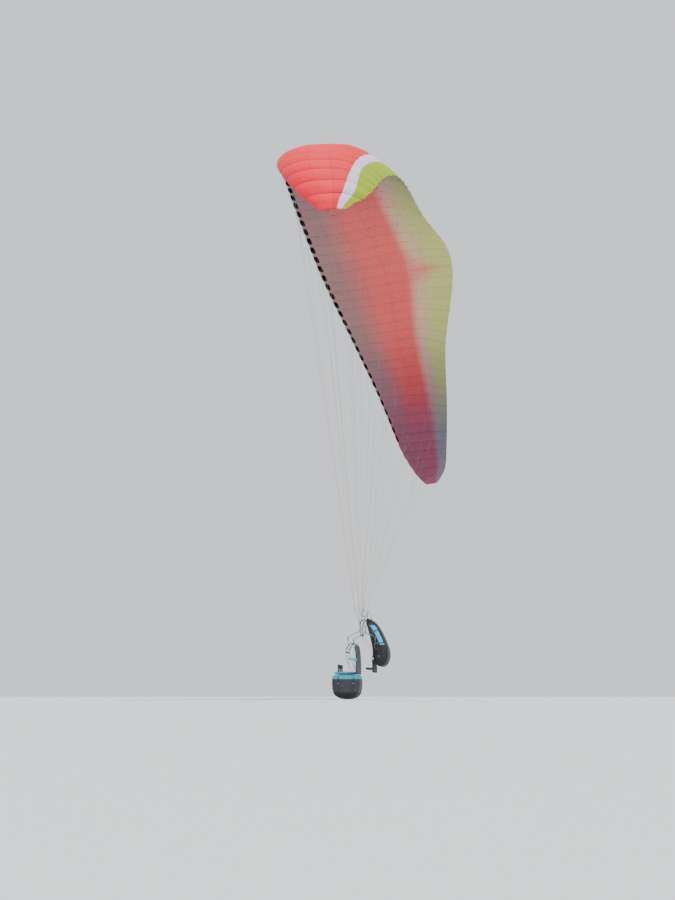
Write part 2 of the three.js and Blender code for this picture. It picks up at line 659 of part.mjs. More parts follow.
// Air-filled back or seat bag: a shell, its inside so much smaller, open at a vent
function bag(outline, shell, vent) {
  const inside = pillow(outline, BAG_HALF - 6, 46, 0.8, shell);
  return pillow(outline, BAG_HALF, 50, 0.8).subtract(inside).subtract(vent);
}

const ventBox = (x0, x1, z0, z1) => loft([-90, 90].map((y) => {
  return [v3(x0, y, z0), v3(x1, y, z0), v3(x1, y, z1), v3(x0, y, z1)];
}));

const PILOT_SEAT = { hang: PILOT, length: 280, turn: 90, top: 15 };
const PASSENGER_SEAT = { hang: PASSENGER, length: 420, turn: 0, top: 6 };
add("pilot_back", bag(PILOT_BAG, 0.94, ventBox(-385, -335, -800, -690)), "harness");
add("pilot_seat", seat(PILOT_SEAT), "harness");
add("pilot_leg_straps", legLoops(PILOT_SEAT), "webbing");
add("pilot_shoulder_straps", shoulderStraps([
  [-157, 110, 155.4], [-97, 110, 144.8], [-50, 114, 152], [10, 122, 120], [34, 126, 0], [20, 130, -140],
  [-70, 156, -290], [-215, 190, -470], [-238, 197.5, -560],
], 5), "webbing");
add("passenger_back", pillow(PASSENGER_BACK, 190, 50, 0.9), "grey");
add("passenger_airbag", bag(PASSENGER_BAG, 0.98, ventBox(290, 350, -1400, -1200)), "grey");
add("passenger_seat", seat(PASSENGER_SEAT), "teal");
add("passenger_leg_straps", legLoops(PASSENGER_SEAT), "webbing");
add("passenger_shoulder_straps", shoulderStraps([
  [125, 100, -323.4], [138, 100, -319.1], [180, 104, -300], [246, 110, -308], [304, 124, -390],
  [322, 170, -466], [307, 207, -552], [280, 207, -650], [240, 203.5, -742],
], 5), "webbing");
const PILOT_RUN = [[-280, 242, -420], [-238, 229, -580]];
const PILOT_TAB = [[-279, 239, -420], [-300, 220, -426], [-350, 217.5, -432]];
const PASSENGER_RUN = [[254, 246, -560], [238, 236, -760], [170, 229, -840]];
const PASSENGER_TAB = [[250, 241, -600], [190, 212, -610], [130, 193, -620], [100, 192.5, -624]];
SIDES.forEach(({ name, side }) => {
  add(`pilot_strap_${name}`, mainStrap(side, PILOT, PILOT_RUN, PILOT_TAB), "webbing");
  add(`passenger_strap_${name}`, mainStrap(side, PASSENGER, PASSENGER_RUN, PASSENGER_TAB), "teal");
});

export default part;
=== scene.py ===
"""Looks of the tandem paraglider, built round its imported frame.

Blender works in metres. Sizes here are in millimetres, drawn as in the part's source with z = 0 on
the main hang axis, and are turned into metres and lowered when a piece is made. Left is towards +y.
"""
import math

import bmesh
import bpy
import numpy as np
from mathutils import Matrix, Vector
from mathutils.bvhtree import BVHTree
from mathutils.geometry import tessellate_polygon


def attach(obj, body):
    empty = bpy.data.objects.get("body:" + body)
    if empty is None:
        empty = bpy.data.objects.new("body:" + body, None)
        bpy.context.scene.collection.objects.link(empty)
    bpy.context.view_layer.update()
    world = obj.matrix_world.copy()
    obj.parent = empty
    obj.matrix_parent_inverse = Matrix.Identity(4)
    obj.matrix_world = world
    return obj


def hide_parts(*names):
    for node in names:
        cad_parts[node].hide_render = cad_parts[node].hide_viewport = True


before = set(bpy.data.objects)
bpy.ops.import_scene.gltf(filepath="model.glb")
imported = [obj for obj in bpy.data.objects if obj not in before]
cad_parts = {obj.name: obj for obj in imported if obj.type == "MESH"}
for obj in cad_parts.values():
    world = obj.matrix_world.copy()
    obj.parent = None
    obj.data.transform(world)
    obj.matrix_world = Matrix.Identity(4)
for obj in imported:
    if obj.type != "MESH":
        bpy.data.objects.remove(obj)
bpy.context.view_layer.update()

# ---------------------------------------------------------------- camera

PHOTO_LONG_SIDE = 900
FOCAL_PIXELS = 602.65
SENSOR = 36.0
CAMERA_AT = Vector((-2.725, 12.441, -9.949))
CAMERA_TURN = math.radians(2.333)
CAMERA_PITCH = math.radians(22.241)


def in_scene(name, data):
    made = bpy.data.objects.new(name, data)
    bpy.context.scene.collection.objects.link(made)
    return made


def aimed(name, data, way):
    """Camera or light that looks along a direction."""
    made = in_scene(name, data)
    made.rotation_mode = "QUATERNION"
    made.rotation_quaternion = Vector(way).to_track_quat("-Z", "Y")
    return made


def look_up_at_wing():
    """Camera near the ground to the left of the harnesses and a little behind, looking up."""
    data = bpy.data.cameras.new("photo_camera")
    data.sensor_width = SENSOR
    data.lens = FOCAL_PIXELS / PHOTO_LONG_SIDE * SENSOR
    data.clip_end = 400
    heading = math.atan2(-CAMERA_AT.y, -CAMERA_AT.x) + CAMERA_TURN
    level = math.cos(CAMERA_PITCH)
    way = math.cos(heading) * level, math.sin(heading) * level, math.sin(CAMERA_PITCH)
    camera = aimed("photo_camera", data, way)
    camera.location = CAMERA_AT
    bpy.context.scene.camera = camera


look_up_at_wing()

# ---------------------------------------------------------------- sizes shared with the part's source

HANG_DROP = 8660
HALF_ARC = 7970
ARCH_LINEAR, ARCH_CUBIC, ARCH_SIXTH = 0.66, 0.89, 0.07
LE_AHEAD = 942
HALF_CELLS = 23
CELL_TAPER = 0.12
DROOP_FROM, DROOP_POWER = 0.6, 1.7
OPEN_CELLS = 18
INLET_SIDE = 0.16
INLET_START, INLET_END = 0.014, 0.050
BULGE_UP, BULGE_DOWN = 0.11, 0.07

# Share of half the arc, leading edge set-back, chord, thickness factor, trailing edge droop, twist
PLANFORM = np.array([
    (0.00, 0, 3350, 1.00, 0.034, -0.024),
    (0.35, 198, 2718, 0.97, 0.170, -0.035),
    (0.65, 620, 2111, 0.90, 0.200, -0.062),
    (0.85, 1042, 1528, 0.82, 0.200, -0.090),
    (0.95, 1441, 984, 0.72, 0.155, -0.106),
    (1.00, 1756, 378, 0.50, 0.100, -0.115),
])

# Rib shape as shares of the chord, and how much of the billow each row takes
PROFILE = np.array([
    (0.012, 0.030, -0.018, 0.50),
    (0.045, 0.062, -0.028, 0.70),
    (0.100, 0.090, -0.036, 1.00),
    (0.190, 0.113, -0.041, 1.00),
    (0.300, 0.122, -0.042, 1.00),
    (0.520, 0.100, -0.034, 1.00),
    (0.740, 0.060, -0.018, 0.90),
    (0.900, 0.025, -0.007, 0.50),
])

SIDES = (("left", 1), ("right", -1))
SIDE_Y = 250
CARABINER_WIDTH, CARABINER_DROP, ROD = 44, 80, 5
LINK_WIDTH, LINK_RISE, LINK_ROD, LINK_LOOP_OUT = 34, 43, 2.5, 6.6
WEB = 25
RISER_TOPS = {"a": (115, 372), "b": (35, 384), "c": (-55, 366)}
PULLEY_X, PULLEY_Z = -88, 330
HANDLE_TOP = 312
ROW_X = {"a": 0.10, "b": 0.30, "c": 0.52, "d": 0.74}
TOP_GROUPS = [(1, 3), (5, 7), (9, 11), (13, 15), (17, 19)]
MAIN_GROUPS = [(0, 1), (2, 3), (4,)]
STABILO_RIBS = (21, 23)
BRAKE_GROUPS = [(2, 4, 6, 8), (10, 12, 14, 16), (18, 20, 22)]
TOP_SHARE, MAIN_SHARE, BRAKE_SHARE = 0.16, 0.42, 0.62
FOOT_RISE = 25
SPREADER_REAR, SPREADER_FRONT = (-297, -190), (255, -190)
PILOT_HIP, PASSENGER_HIP = (-222, -590), (150, -846)
BAG_HALF = 215

# Side outlines in x and z
PILOT_BAG = [
    (-90, 140), (-135, 0), (-190, -200), (-230, -400), (-235, -560), (-270, -690), (-355, -750),
    (-455, -710), (-520, -590), (-515, -440), (-455, -270), (-370, -80), (-275, 70), (-175, 155),
]
PASSENGER_BAG = [
    (85, -890), (320, -890), (560, -890), (600, -935), (605, -1120), (570, -1250), (480, -1310),
    (320, -1325), (170, -1310), (95, -1240), (70, -1120), (68, -980),
]
PASSENGER_BACK = [
    (128, -889.5), (116, -700), (122, -500), (146, -360), (140, -322), (122, -328), (92, -480),
    (84, -700), (90, -889.5),
]

# ---------------------------------------------------------------- colours


def colour(text):
    """Hexadecimal display colour as the linear colour that a shader takes."""
    parts = [int(text[i:i + 2], 16) / 255 for i in (0, 2, 4)]
    return tuple(c / 12.92 if c < 0.04045 else ((c + 0.055) / 1.055) ** 2.4 for c in parts) + (1.0,)


CORAL, CORAL_DEEP = colour("ff2c40"), colour("f0081c")
NOSE_WHITE = colour("eceaf2")
STRIPE_LAVENDER = colour("d9cfee")
LIME = colour("98b000")
# Painted shade on the lower skin at the tips: rose where the tip's coral shows lit through, grey-mauve behind
# it
UNDER_TIP_SHADE_ROSE, UNDER_TIP_SHADE_GREY = colour("96506c"), colour("7d7c8e")
# Lower skin from nose to tail: share of the chord where a colour starts and is full, its colour over the
# middle of the span and further out. The bands are the upper skin's colours painted as they show lit through
# the cloth; the darker colours further out are partly print and partly painted shade.
UNDER_BANDS = [
    (0.00, 0.01, colour("ad7f7c"), colour("946a74")),
    (0.12, 0.45, colour("ff6a66"), colour("d04a54")),
    (0.63, 0.75, colour("ecc4a4"), colour("b88484")),
    (0.74, 0.88, colour("d6d882"), colour("9ea072")),
]
# Painted shade: the skins' inner faces, dark as the inside of the cells
INSIDE_SHADE = colour("4a3338")
# The rib cloth is white; these dark greys are painted shade inside the cells, the tone varying at random
# between them
RIB_DARK, RIB_PALE = colour("5b5660"), colour("76707a")
BLACK_WEB, BLACK_WEB_WORN = colour("121317"), colour("37393f")
TEAL, TEAL_WEB_WORN, TEAL_DUSTY = colour("1f84a0"), colour("4fa3b8"), colour("5f9fae")
SKY_BLUE = colour("2f9fc8")
PACK_BLACK, BLACK_DUSTY = colour("0c0d11"), colour("34322f")
PACK_GREY, GREY_DUSTY = colour("24262c"), colour("4c4944")
PACK_BROWN = colour("2e2a2a")
CORD_DUST = colour("8b8780")
METAL_DIRT, PLASTIC_DIRT = colour("6b675f"), colour("4b4944")
HARD_BLACK = colour("17181b")
FLOOR_PALE = colour("d9dbdc")
SKY_LIGHT = (0.90, 0.93, 0.97, 1)

# ---------------------------------------------------------------- node writing


class Flow:
    """What an output of a node tree brings; sums and products of flows become math nodes."""

    def __init__(self, tree, socket):
        self.tree, self.socket = tree, socket

    def calc(self, operation, *others, clamp=False):
        values = {f"i{k}": value for k, value in enumerate((self, *others))}
        settings = {"operation": operation, "use_clamp": clamp}
        return feed(self.tree, "ShaderNodeMath", settings, **values)

    def __add__(self, other):
        return self.calc("ADD", other)

    def __sub__(self, other):
        return self.calc("SUBTRACT", other)

    def __mul__(self, other):
        return self.calc("MULTIPLY", other)

    def __rsub__(self, other):
        return self.calc("MULTIPLY_ADD", -1.0, other)

    def __abs__(self):
        return self.calc("ABSOLUTE")

    def ramp(self, low, high):
        """0 below low, 1 above high, smooth between."""
        settings = {"interpolation_type": "SMOOTHSTEP"}
        return feed(self.tree, "ShaderNodeMapRange", settings, Value=self, From_Min=low, From_Max=high)

    def near(self, centre, half, soft):
        """1 within half of centre, fading to 0 over soft."""
        return 1.0 - abs(self - centre).ramp(half, half + soft)


def node(tree, kind, settings=None, **inputs):
    """One node with its settings, and its sockets set or linked by name, or by number as i0, i1."""
    made = tree.nodes.new(kind)
    for name, value in (settings or {}).items():
        setattr(made, name, value)
    for key, value in inputs.items():
        by_number = key[0] == "i" and key[1:].isdigit()
        socket = made.inputs[int(key[1:]) if by_number else key.replace("_", " ")]
        if isinstance(value, Flow):
            tree.links.new(value.socket, socket)
        else:
            socket.default_value = value
    return made


def feed(tree, kind, settings=None, pick=0, **inputs):
    """One output of a new node."""
    return Flow(tree, node(tree, kind, settings, **inputs).outputs[pick])


def axes(place):
    split = node(place.tree, "ShaderNodeSeparateXYZ", Vector=place)
    return [Flow(place.tree, socket) for socket in split.outputs]


def greatest(first, *others):
    for other in others:
        first = first.calc("MAXIMUM", other)
    return first


def blend_colours(tree, share, first, second, kind="MIX"):
    settings = {"data_type": "RGBA", "blend_type": kind}
    return feed(tree, "ShaderNodeMix", settings, 2, i0=share, i6=first, i7=second)


def attribute(tree, name):
    return feed(tree, "ShaderNodeAttribute", {"attribute_name": name}, "Fac")


def object_place(tree):
    return feed(tree, "ShaderNodeTexCoord", pick="Object")


def cloth_place(tree):
    return feed(tree, "ShaderNodeUVMap", {"uv_map": "cloth"}, "UV")


def noise(place, scale, detail=3.0, roughness=0.5, stretch=None):
    tree = place.tree
    if stretch:
        place = feed(tree, "ShaderNodeMapping", Vector=place, Scale=stretch)
    return feed(tree, "ShaderNodeTexNoise", Vector=place, Scale=scale, Detail=detail, Roughness=roughness)


def grain(scale, detail=3.0):
    """Height function: fine noise in the piece's own place."""
    return lambda tree: noise(object_place(tree), scale, detail)


def finish_of(name, tint, rough, metallic=0.0, sheen=0.0, gloss=0.5, height=None, depth=0.0005, through=0.0):
    """Material from a colour, a roughness and a height, each a plain value or a function of the tree."""
    material = bpy.data.materials.new(name)
    material.use_nodes = True
    tree = material.node_tree
    tree.nodes.clear()
    shade = tint(tree) if callable(tint) else tint
    polish = rough(tree) if callable(rough) else rough
    shader = node(tree, "ShaderNodeBsdfPrincipled", Base_Color=shade, Roughness=polish, Metallic=metallic,
                  Sheen_Weight=sheen, Specular_IOR_Level=gloss)
    if sheen:
        shader.inputs["Sheen Roughness"].default_value = 0.4
    if height:
        relief = node(tree, "ShaderNodeBump", Height=height(tree), Strength=1.0, Distance=depth)
        tree.links.new(relief.outputs[0], shader.inputs["Normal"])
    surface = Flow(tree, shader.outputs[0])
    if through:
        lit = feed(tree, "ShaderNodeBsdfTranslucent", Color=shade)
        surface = feed(tree, "ShaderNodeMixShader", i0=through, i1=surface, i2=lit)
    node(tree, "ShaderNodeOutputMaterial", Surface=surface)
    return material


# ---------------------------------------------------------------- canopy cloth

UPPER_JOINTS = (0.11, 0.30, 0.52)
LOWER_JOINTS = (0.18, 0.33, 0.50, 0.66, 0.80)
RIPSTOP_PITCH, RIPSTOP_SHARE = 0.005, 0.14


def cell_seams(tree):
    """1 on the sewn lines along the ribs."""
    phase = attribute(tree, "cell_number").calc("FRACT")
    away = phase.calc("MINIMUM", 1.0 - phase)
    return 1.0 - (away * attribute(tree, "cell_width")).ramp(0.004, 0.012)


def all_seams(tree, joints, strength=1.0):
    """1 on the lines along the ribs, and this strength on those across them at shares of the chord."""
    chord = attribute(tree, "chord_share")
    across = greatest(*(chord.near(share, 0.0010, 0.0014) for share in joints))
    return greatest(cell_seams(tree), across * strength)


def ripstop(tree):
    """Fine raised grid woven into the cloth."""
    along, across, _ = axes(cloth_place(tree))
    return greatest(*(run.calc("DIVIDE", RIPSTOP_PITCH).calc("FRACT").calc("LESS_THAN", RIPSTOP_SHARE)
                      for run in (along, across)))


def cloth_height(joints):
    def height(tree):
        creases = noise(cloth_place(tree), 1.0, 4.0, 0.6, (9.0, 1.4, 1.0))
        return creases * 9.0 - all_seams(tree, joints) * 1.6 + ripstop(tree) * 0.15
    return height


def wear_and_crease_light(tree, shade, seams):
    """Panel to panel variation, faded patches, painted highlights along chordwise creases and darker seams
    over a cloth colour; the seams darken for their sewn lines and with painted shade in the crease along each
    rib.
    """
    cell = attribute(tree, "cell_number").calc("FLOOR")
    lot = feed(tree, "ShaderNodeTexWhiteNoise", {"noise_dimensions": "1D"}, W=cell)
    fade = noise(cloth_place(tree), 0.9, 4.0, 0.55)
    # Chordwise streaks that lighten the cloth: painted highlights on its creases
    crease_highlight = noise(cloth_place(tree), 1.0, 3.0, 0.6, (14.0, 0.8, 1.0))
    light = fade * 0.16 + lot * 0.05 + crease_highlight * 0.14 - ripstop(tree) * 0.04 + 0.80
    # Darker along the seams: the sewn lines themselves, and painted shade in the crease along each rib
    light = light * (1.0 - seams)
    grey = feed(tree, "ShaderNodeCombineColor", Red=light, Green=light, Blue=light)
    return blend_colours(tree, 1.0, shade, grey, "MULTIPLY")


def centre_wedge(tree):
    """1 in the soft narrow wedge at the middle where the coral runs back towards the trailing edge."""
    edge = attribute(tree, "chord_share") * 6.0 - 4.3
    return 1.0 - (abs(attribute(tree, "cell_number")) + edge).ramp(0.0, 2.0)


def upper_colour(tree):
    """Coral from a white nose back to a lavender stripe, then lime."""
    chord, cell = attribute(tree, "chord_share"), abs(attribute(tree, "cell_number"))
    nose = cell.ramp(14.0, 18.0) * -0.022 + 0.020
    behind_stripe = chord - (cell.ramp(15.0, 23.5) * -0.105 + 0.8375)
    half_stripe = cell.ramp(19.0, 23.5) * 0.06 + 0.038
    deep = noise(cloth_place(tree), 0.55, 2.0, 0.5)
    coral = blend_colours(tree, chord.ramp(0.42, 0.74), CORAL, CORAL_DEEP)
    coral = blend_colours(tree, deep * 0.35, coral, CORAL_DEEP)
    shade = blend_colours(tree, (chord - nose).ramp(-0.002, 0.002), NOSE_WHITE, coral)
    shade = blend_colours(tree, (behind_stripe + half_stripe).ramp(-0.001, 0.001), shade, STRIPE_LAVENDER)
    rear = blend_colours(tree, centre_wedge(tree), LIME, CORAL)
    shade = blend_colours(tree, (behind_stripe - half_stripe).ramp(-0.006, 0.006), shade, rear)
    return wear_and_crease_light(tree, shade, all_seams(tree, UPPER_JOINTS) * 0.20)


def lower_colour(tree):
    """Greyed rose at the nose, a red band, a pale band and lime behind it, duller towards the tips: the upper
    skin's colours painted as lit through the cloth, with painted shade growing towards the tips.
    """
    cell = abs(attribute(tree, "cell_number"))
    outward, tip_shade = cell.ramp(3.0, 14.0), cell.ramp(10.5, 17.5)
    chord = attribute(tree, "chord_share") - outward * 0.03
    shade = UNDER_BANDS[0][2]
    # Each band goes from its middle colour to its darker outer one: partly print, partly painted shade
    for start, full, middle, outer in UNDER_BANDS:
        band = blend_colours(tree, outward, middle, outer)
        shade = blend_colours(tree, chord.ramp(start, full), shade, band)
    wedge = centre_wedge(tree) * chord.ramp(0.62, 0.74)
    shade = blend_colours(tree, wedge * 0.62, shade, UNDER_BANDS[1][2])
    # Painted shade at the tips: rose, then grey-mauve behind the pale band
    last = blend_colours(tree, chord.ramp(0.68, 0.80), UNDER_TIP_SHADE_ROSE, UNDER_TIP_SHADE_GREY)
    shade = blend_colours(tree, tip_shade * 0.9, shade, last)
    return wear_and_crease_light(tree, shade, all_seams(tree, LOWER_JOINTS, 0.8) * 0.24)


UPPER_CLOTH = finish_of("coated ripstop, upper skin", upper_colour, 0.50, sheen=0.04, gloss=0.2,
                        height=cloth_height(UPPER_JOINTS), depth=0.0022, through=0.15)
LOWER_CLOTH = finish_of("coated ripstop, lower skin", lower_colour, 0.54, sheen=0.04, gloss=0.2,
                        height=cloth_height(LOWER_JOINTS), depth=0.0018, through=0.30)
# Painted shade for the skins' inner faces inside the cells
INNER_CLOTH_SHADE = finish_of("ripstop inside the cells, painted shade", INSIDE_SHADE, 0.6, height=grain(30.0), depth=0.001)
# White rib cloth in painted shade: dark grey, varying at random
RIB_CLOTH = finish_of("stiff white rib cloth",
                      lambda tree: blend_colours(tree, noise(object_place(tree), 8.0), RIB_DARK, RIB_PALE),
                      0.6, height=grain(400.0, 1.0), depth=0.0003)

# ---------------------------------------------------------------- webbing, cords, pack cloth, metal, plastic

WEB_ROW, WEB_RIB = 0.0022, 0.0016
WEAVE_PITCH = 0.0014


def web_height(tree):
    """Chevrons of a woven strap: rows across it, slanting both ways from its middle."""
    across, along, _ = axes(cloth_place(tree))
    row = (along + abs(across)) * (math.tau / WEB_ROW)
    return row.calc("SINE") * (across * (math.tau / WEB_RIB)).calc("SINE")


def web_finish(name, base, fade):
    """Woven strap: thread relief, paler worn edges and slight fading."""
    def tint(tree):
        rows = web_height(tree) * 0.5 + 0.5
        mixed = rows.calc("MULTIPLY_ADD", 0.16, noise(object_place(tree), 35.0, 4.0) * 0.45, clamp=True)
        edge = abs(axes(cloth_place(tree))[0]).ramp(0.009, 0.0125)
        return blend_colours(tree, greatest(mixed, edge * 0.35), base, fade)
    return finish_of(name, tint, 0.78, sheen=0.08, gloss=0.35, height=web_height, depth=0.0004)


def weave_height(tree):
    """Plain weave of a pack cloth in the piece's own place, under soft creases."""
    x, y, z = axes(object_place(tree))
    warp, weft = ((run * (math.tau / WEAVE_PITCH)).calc("SINE") for run in (x + y, (x - y) * 0.35 + z))
    return noise(object_place(tree), 14.0, 4.0, 0.6) * 7.0 + warp * weft * 0.16


def dusty(tree, base, dust, amount=0.4):
    """A base colour under faded and dusty patches."""
    cloud = noise(object_place(tree), 5.0, 5.0, 0.62) * 1.6 - 0.55
    share = noise(object_place(tree), 260.0, 2.0).calc("MULTIPLY_ADD", 0.2, cloud, clamp=True)
    return blend_colours(tree, share * amount, base, dust)


def pack_finish(name, base, dust, panels=None):
    """Padded pack cloth, with panels of other colours where the piece has them."""
    def tint(tree):
        shade = dusty(tree, base, dust)
        return panels(tree, shade) if panels else shade
    return finish_of(name, tint, lambda tree: noise(object_place(tree), 20.0) * 0.2 + 0.62, sheen=0.08,
                     gloss=0.35, height=weave_height, depth=0.0012)


# Heights in metres where the bags change colour, and the blue stripe's width behind the piping
BAG_UPPER_FROM = -8.862
STRIPE_MIDDLE, STRIPE_HALF_HEIGHT, STRIPE_WIDTH = -8.815, 0.185, 0.098
AIRBAG_TEAL_FROM, AIRBAG_BASE_UNDER = -9.640, -9.865


def pilot_bag_panels(tree, shade):
    """Sky blue stripe down each side behind the piping, brown-grey upper sides."""
    across, gap = abs(attribute(tree, "across")), attribute(tree, "rear_gap")
    height = axes(object_place(tree))[2]
    upper = height.ramp(BAG_UPPER_FROM, BAG_UPPER_FROM + 0.004) * across.ramp(0.90, 0.91)
    shade = blend_colours(tree, upper * 0.8, shade, PACK_BROWN)
    place = across.ramp(0.85, 0.86) * height.near(STRIPE_MIDDLE, STRIPE_HALF_HEIGHT, 0.002)
    stripe = (1.0 - gap.ramp(STRIPE_WIDTH, STRIPE_WIDTH + 0.002)) * place
    shade = blend_colours(tree, stripe, shade, SKY_BLUE)
    return blend_colours(tree, gap.near(STRIPE_WIDTH + 0.005, 0.003, 0.001) * place, shade, BLACK_WEB)


def passenger_bag_panels(tree, shade):
    """Teal along the top edge of the sides and front, darker base."""
    across = abs(attribute(tree, "across"))
    height = axes(object_place(tree))[2]
    shade = blend_colours(tree, height.ramp(AIRBAG_TEAL_FROM, AIRBAG_TEAL_FROM + 0.005), shade, TEAL)
    base = 1.0 - height.ramp(AIRBAG_BASE_UNDER - 0.005, AIRBAG_BASE_UNDER)
    shade = blend_colours(tree, base * 0.8, shade, PACK_BLACK)
    seam = greatest(height.near(AIRBAG_TEAL_FROM + 0.0025, 0.002, 0.002), across.near(0.80, 0.006, 0.004))
    return blend_colours(tree, seam, shade, BLACK_WEB)


def metal_finish(name, base, rough):
    return finish_of(name, lambda tree: dusty(tree, base, METAL_DIRT, 0.3),
                     lambda tree: noise(object_place(tree), 90.0, 4.0, 0.6, (1.0, 1.0, 6.0)) * 0.12 + rough,
                     metallic=1.0, height=grain(500.0, 2.0), depth=0.00006)


def cord_finish(name, base):
    """Braided cord sheath with slight colour variation along it."""
    def tint(tree):
        return blend_colours(tree, noise(object_place(tree), 6.0) * 0.4, base, CORD_DUST)
    return finish_of(name, tint, 0.72, sheen=0.2, height=grain(900.0, 1.0), depth=0.0002)


def thread_finish(name, base):
    return finish_of(name, base, 0.8, sheen=0.3, height=grain(2500.0, 1.0), depth=0.0001)


BLACK_STRAP = web_finish("black webbing", BLACK_WEB, BLACK_WEB_WORN)
TEAL_STRAP = web_finish("teal webbing", TEAL, TEAL_WEB_WORN)
RED_CORD = cord_finish("red sheathed cord", colour("c2404c"))
GREEN_CORD = cord_finish("green sheathed cord", colour("6f9a5c"))
GREY_CORD = cord_finish("grey bare cord", colour("6d7382"))
# The bare upper cords are pale; coloured darker here as painted shade, the lines standing dark against the
# lit canopy
UPPER_CORD_SHADED = cord_finish("bare upper cord", colour("6f6664"))
PILOT_PACK = pack_finish("black pack cloth", PACK_BLACK, BLACK_DUSTY, pilot_bag_panels)
PLAIN_PACK = pack_finish("plain black pack cloth", PACK_BLACK, BLACK_DUSTY)
AIRBAG_PACK = pack_finish("grey pack cloth", PACK_GREY, GREY_DUSTY, passenger_bag_panels)
GREY_PACK = pack_finish("plain grey pack cloth", PACK_GREY, GREY_DUSTY)
TEAL_PACK = pack_finish("teal pack cloth", TEAL, TEAL_DUSTY)
STEEL = metal_finish("polished steel", colour("b9bdc4"), 0.22)
ALLOY = metal_finish("anodised alloy", colour("8d939c"), 0.3)
MOULDED = finish_of("moulded black plastic", lambda tree: dusty(tree, HARD_BLACK, PLASTIC_DIRT, 0.35), 0.48,
                    height=grain(700.0, 2.0), depth=0.0002)
PALE_THREAD = thread_finish("pale sewing thread", colour("c9c6bd"))
DARK_THREAD = thread_finish("dark sewing thread", colour("5d6068"))

# ---------------------------------------------------------------- making pieces


def unit(v):
    return v / max(np.linalg.norm(v), 1e-9)


def vectors(*values):
    return [np.array(v, float) for v in values]


def travelled(points):
    """Way gone along a line at each of its points."""
    return np.r_[0, np.cumsum(np.linalg.norm(np.diff(points, axis=0), axis=1))]


def to_metres(points):
    placed = np.array(points, float).reshape(-1, 3) * 0.001
    placed[:, 2] -= HANG_DROP * 0.001
    return placed


def mesh_of(name, points, faces=(), edges=()):
    mesh = bpy.data.meshes.new(name)
    mesh.from_pydata(to_metres(points).tolist(), edges, faces)
    return mesh


def lay_cloth(mesh, cloth):
    """UV map "cloth" from one place in metres for each point."""
    corners = np.zeros(len(mesh.loops), int)
    mesh.loops.foreach_get("vertex_index", corners)
    mesh.uv_layers.new(name="cloth").data.foreach_set("uv", np.array(cloth, float)[corners].ravel())


def point_values(mesh, kind="FLOAT", **columns):
    field = "value" if kind == "FLOAT" else "vector"
    for name, values in columns.items():
        mesh.attributes.new(name, kind, "POINT").data.foreach_set(field, np.ravel(values))


class Shape:
    """Points, faces and cloth coordinates gathered for one piece, in millimetres."""

    def __init__(self):
        self.points, self.faces, self.cloth = [], [], []

    def add(self, points, faces, cloth=None):
        start = len(self.points)
        self.points.extend(tuple(p) for p in points)
        self.cloth.extend(cloth if cloth is not None else [(0.0, 0.0)] * len(points))
        self.faces.extend(tuple(start + i for i in face) for face in faces)

    def loft(self, rings, closed=False, cloth=None):
        """Skin through rings of equal point counts, its ends closed with fans, or closed on itself."""
        rings = [np.array(r, float) for r in rings]
        count, total = len(rings[0]), len(rings)
        points = [p for ring in rings for p in ring]
        faces = []
        for r in range(total if closed else total - 1):
            a, b = r * count, (r + 1) % total * count
            faces += [(a + i, a + (i + 1) % count, b + (i + 1) % count, b + i) for i in range(count)]
        if cloth is None:
            along = travelled([ring.mean(0) for ring in rings])
            cloth = [(u * 0.001, v * 0.001) for v in along for u in travelled(rings[0])]
        if not closed:
            for ring, start, turn in ((rings[0], 0, -1), (rings[-1], (total - 1) * count, 1)):
                hub = len(points)
                points.append(ring.mean(0))
                cloth.append((0.0, 0.0))
                faces += [(start + i, start + (i + 1) % count, hub)[::turn] for i in range(count)]
        self.add(points, faces, cloth)

    def sweep(self, path, section, wide=(0, 1, 0), closed=False, sizes=None):
        """A section carried along a path, its first direction kept along wide."""
        path, wide = vectors(path, wide)
        rings, cloth = [], []
        for i, (spot, way_gone) in enumerate(zip(path, travelled(path))):
            before = path[i - 1] if closed or i else path[0]
            after = path[(i + 1) % len(path)] if closed or i < len(path) - 1 else path[-1]
            along = unit(after - before)
            across = unit(wide - along * np.dot(wide, along))
            up = np.cross(along, across)
            size = 1.0 if sizes is None else sizes[i]
            rings.append([spot + across * (u * size) + up * (v * size) for u, v in section])
            cloth += [(u * 0.001, way_gone * 0.001) for u, _ in section]
        self.loft(rings, closed, cloth)
        return self

    def stand(self, x, y, section, stations):
        """A section of x and y stood upright, with its height and scale at each station."""
        self.loft([[(x + u * k, y + v * k, h) for u, v in section] for h, k in stations])

    def piece(self, name, body, finish, slot, replaces=(), smooth=40):
        """Turns the gathered shape into a finished object that rides on a body."""
        mesh = mesh_of(name, self.points, self.faces)
        lay_cloth(mesh, self.cloth)
        finished(mesh, name, body, finish, slot, replaces, smooth)


def finished(mesh, name, body, finish, slot, replaces=(), smooth=60):
    """Object of a mesh that faces outwards, in one material."""
    mesh.materials.append(finish)
    face_out(mesh)
    return placed_on(mesh, name, body, slot, replaces, smooth)


def placed_on(mesh, name, body, slot, replaces, smooth):
    """Smooth shading, the body that the object rides on and the nodes it stands for; its slot is not used."""
    mesh.name = name
    mesh.polygons.foreach_set("use_smooth", [True] * len(mesh.polygons))
    mesh.set_sharp_from_angle(angle=math.radians(smooth))
    mesh.update()
    made = in_scene(name, mesh)
    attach(made, body)
    if replaces:
        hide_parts(*replaces)
    return made


def face_out(mesh):
    """Turns each closed shell of the mesh so that it faces outwards."""
    work = bmesh.new()
    work.from_mesh(mesh)
    if all(edge.is_manifold for edge in work.edges):
        bmesh.ops.recalc_face_normals(work, faces=work.faces)
        work.to_mesh(mesh)
    work.free()


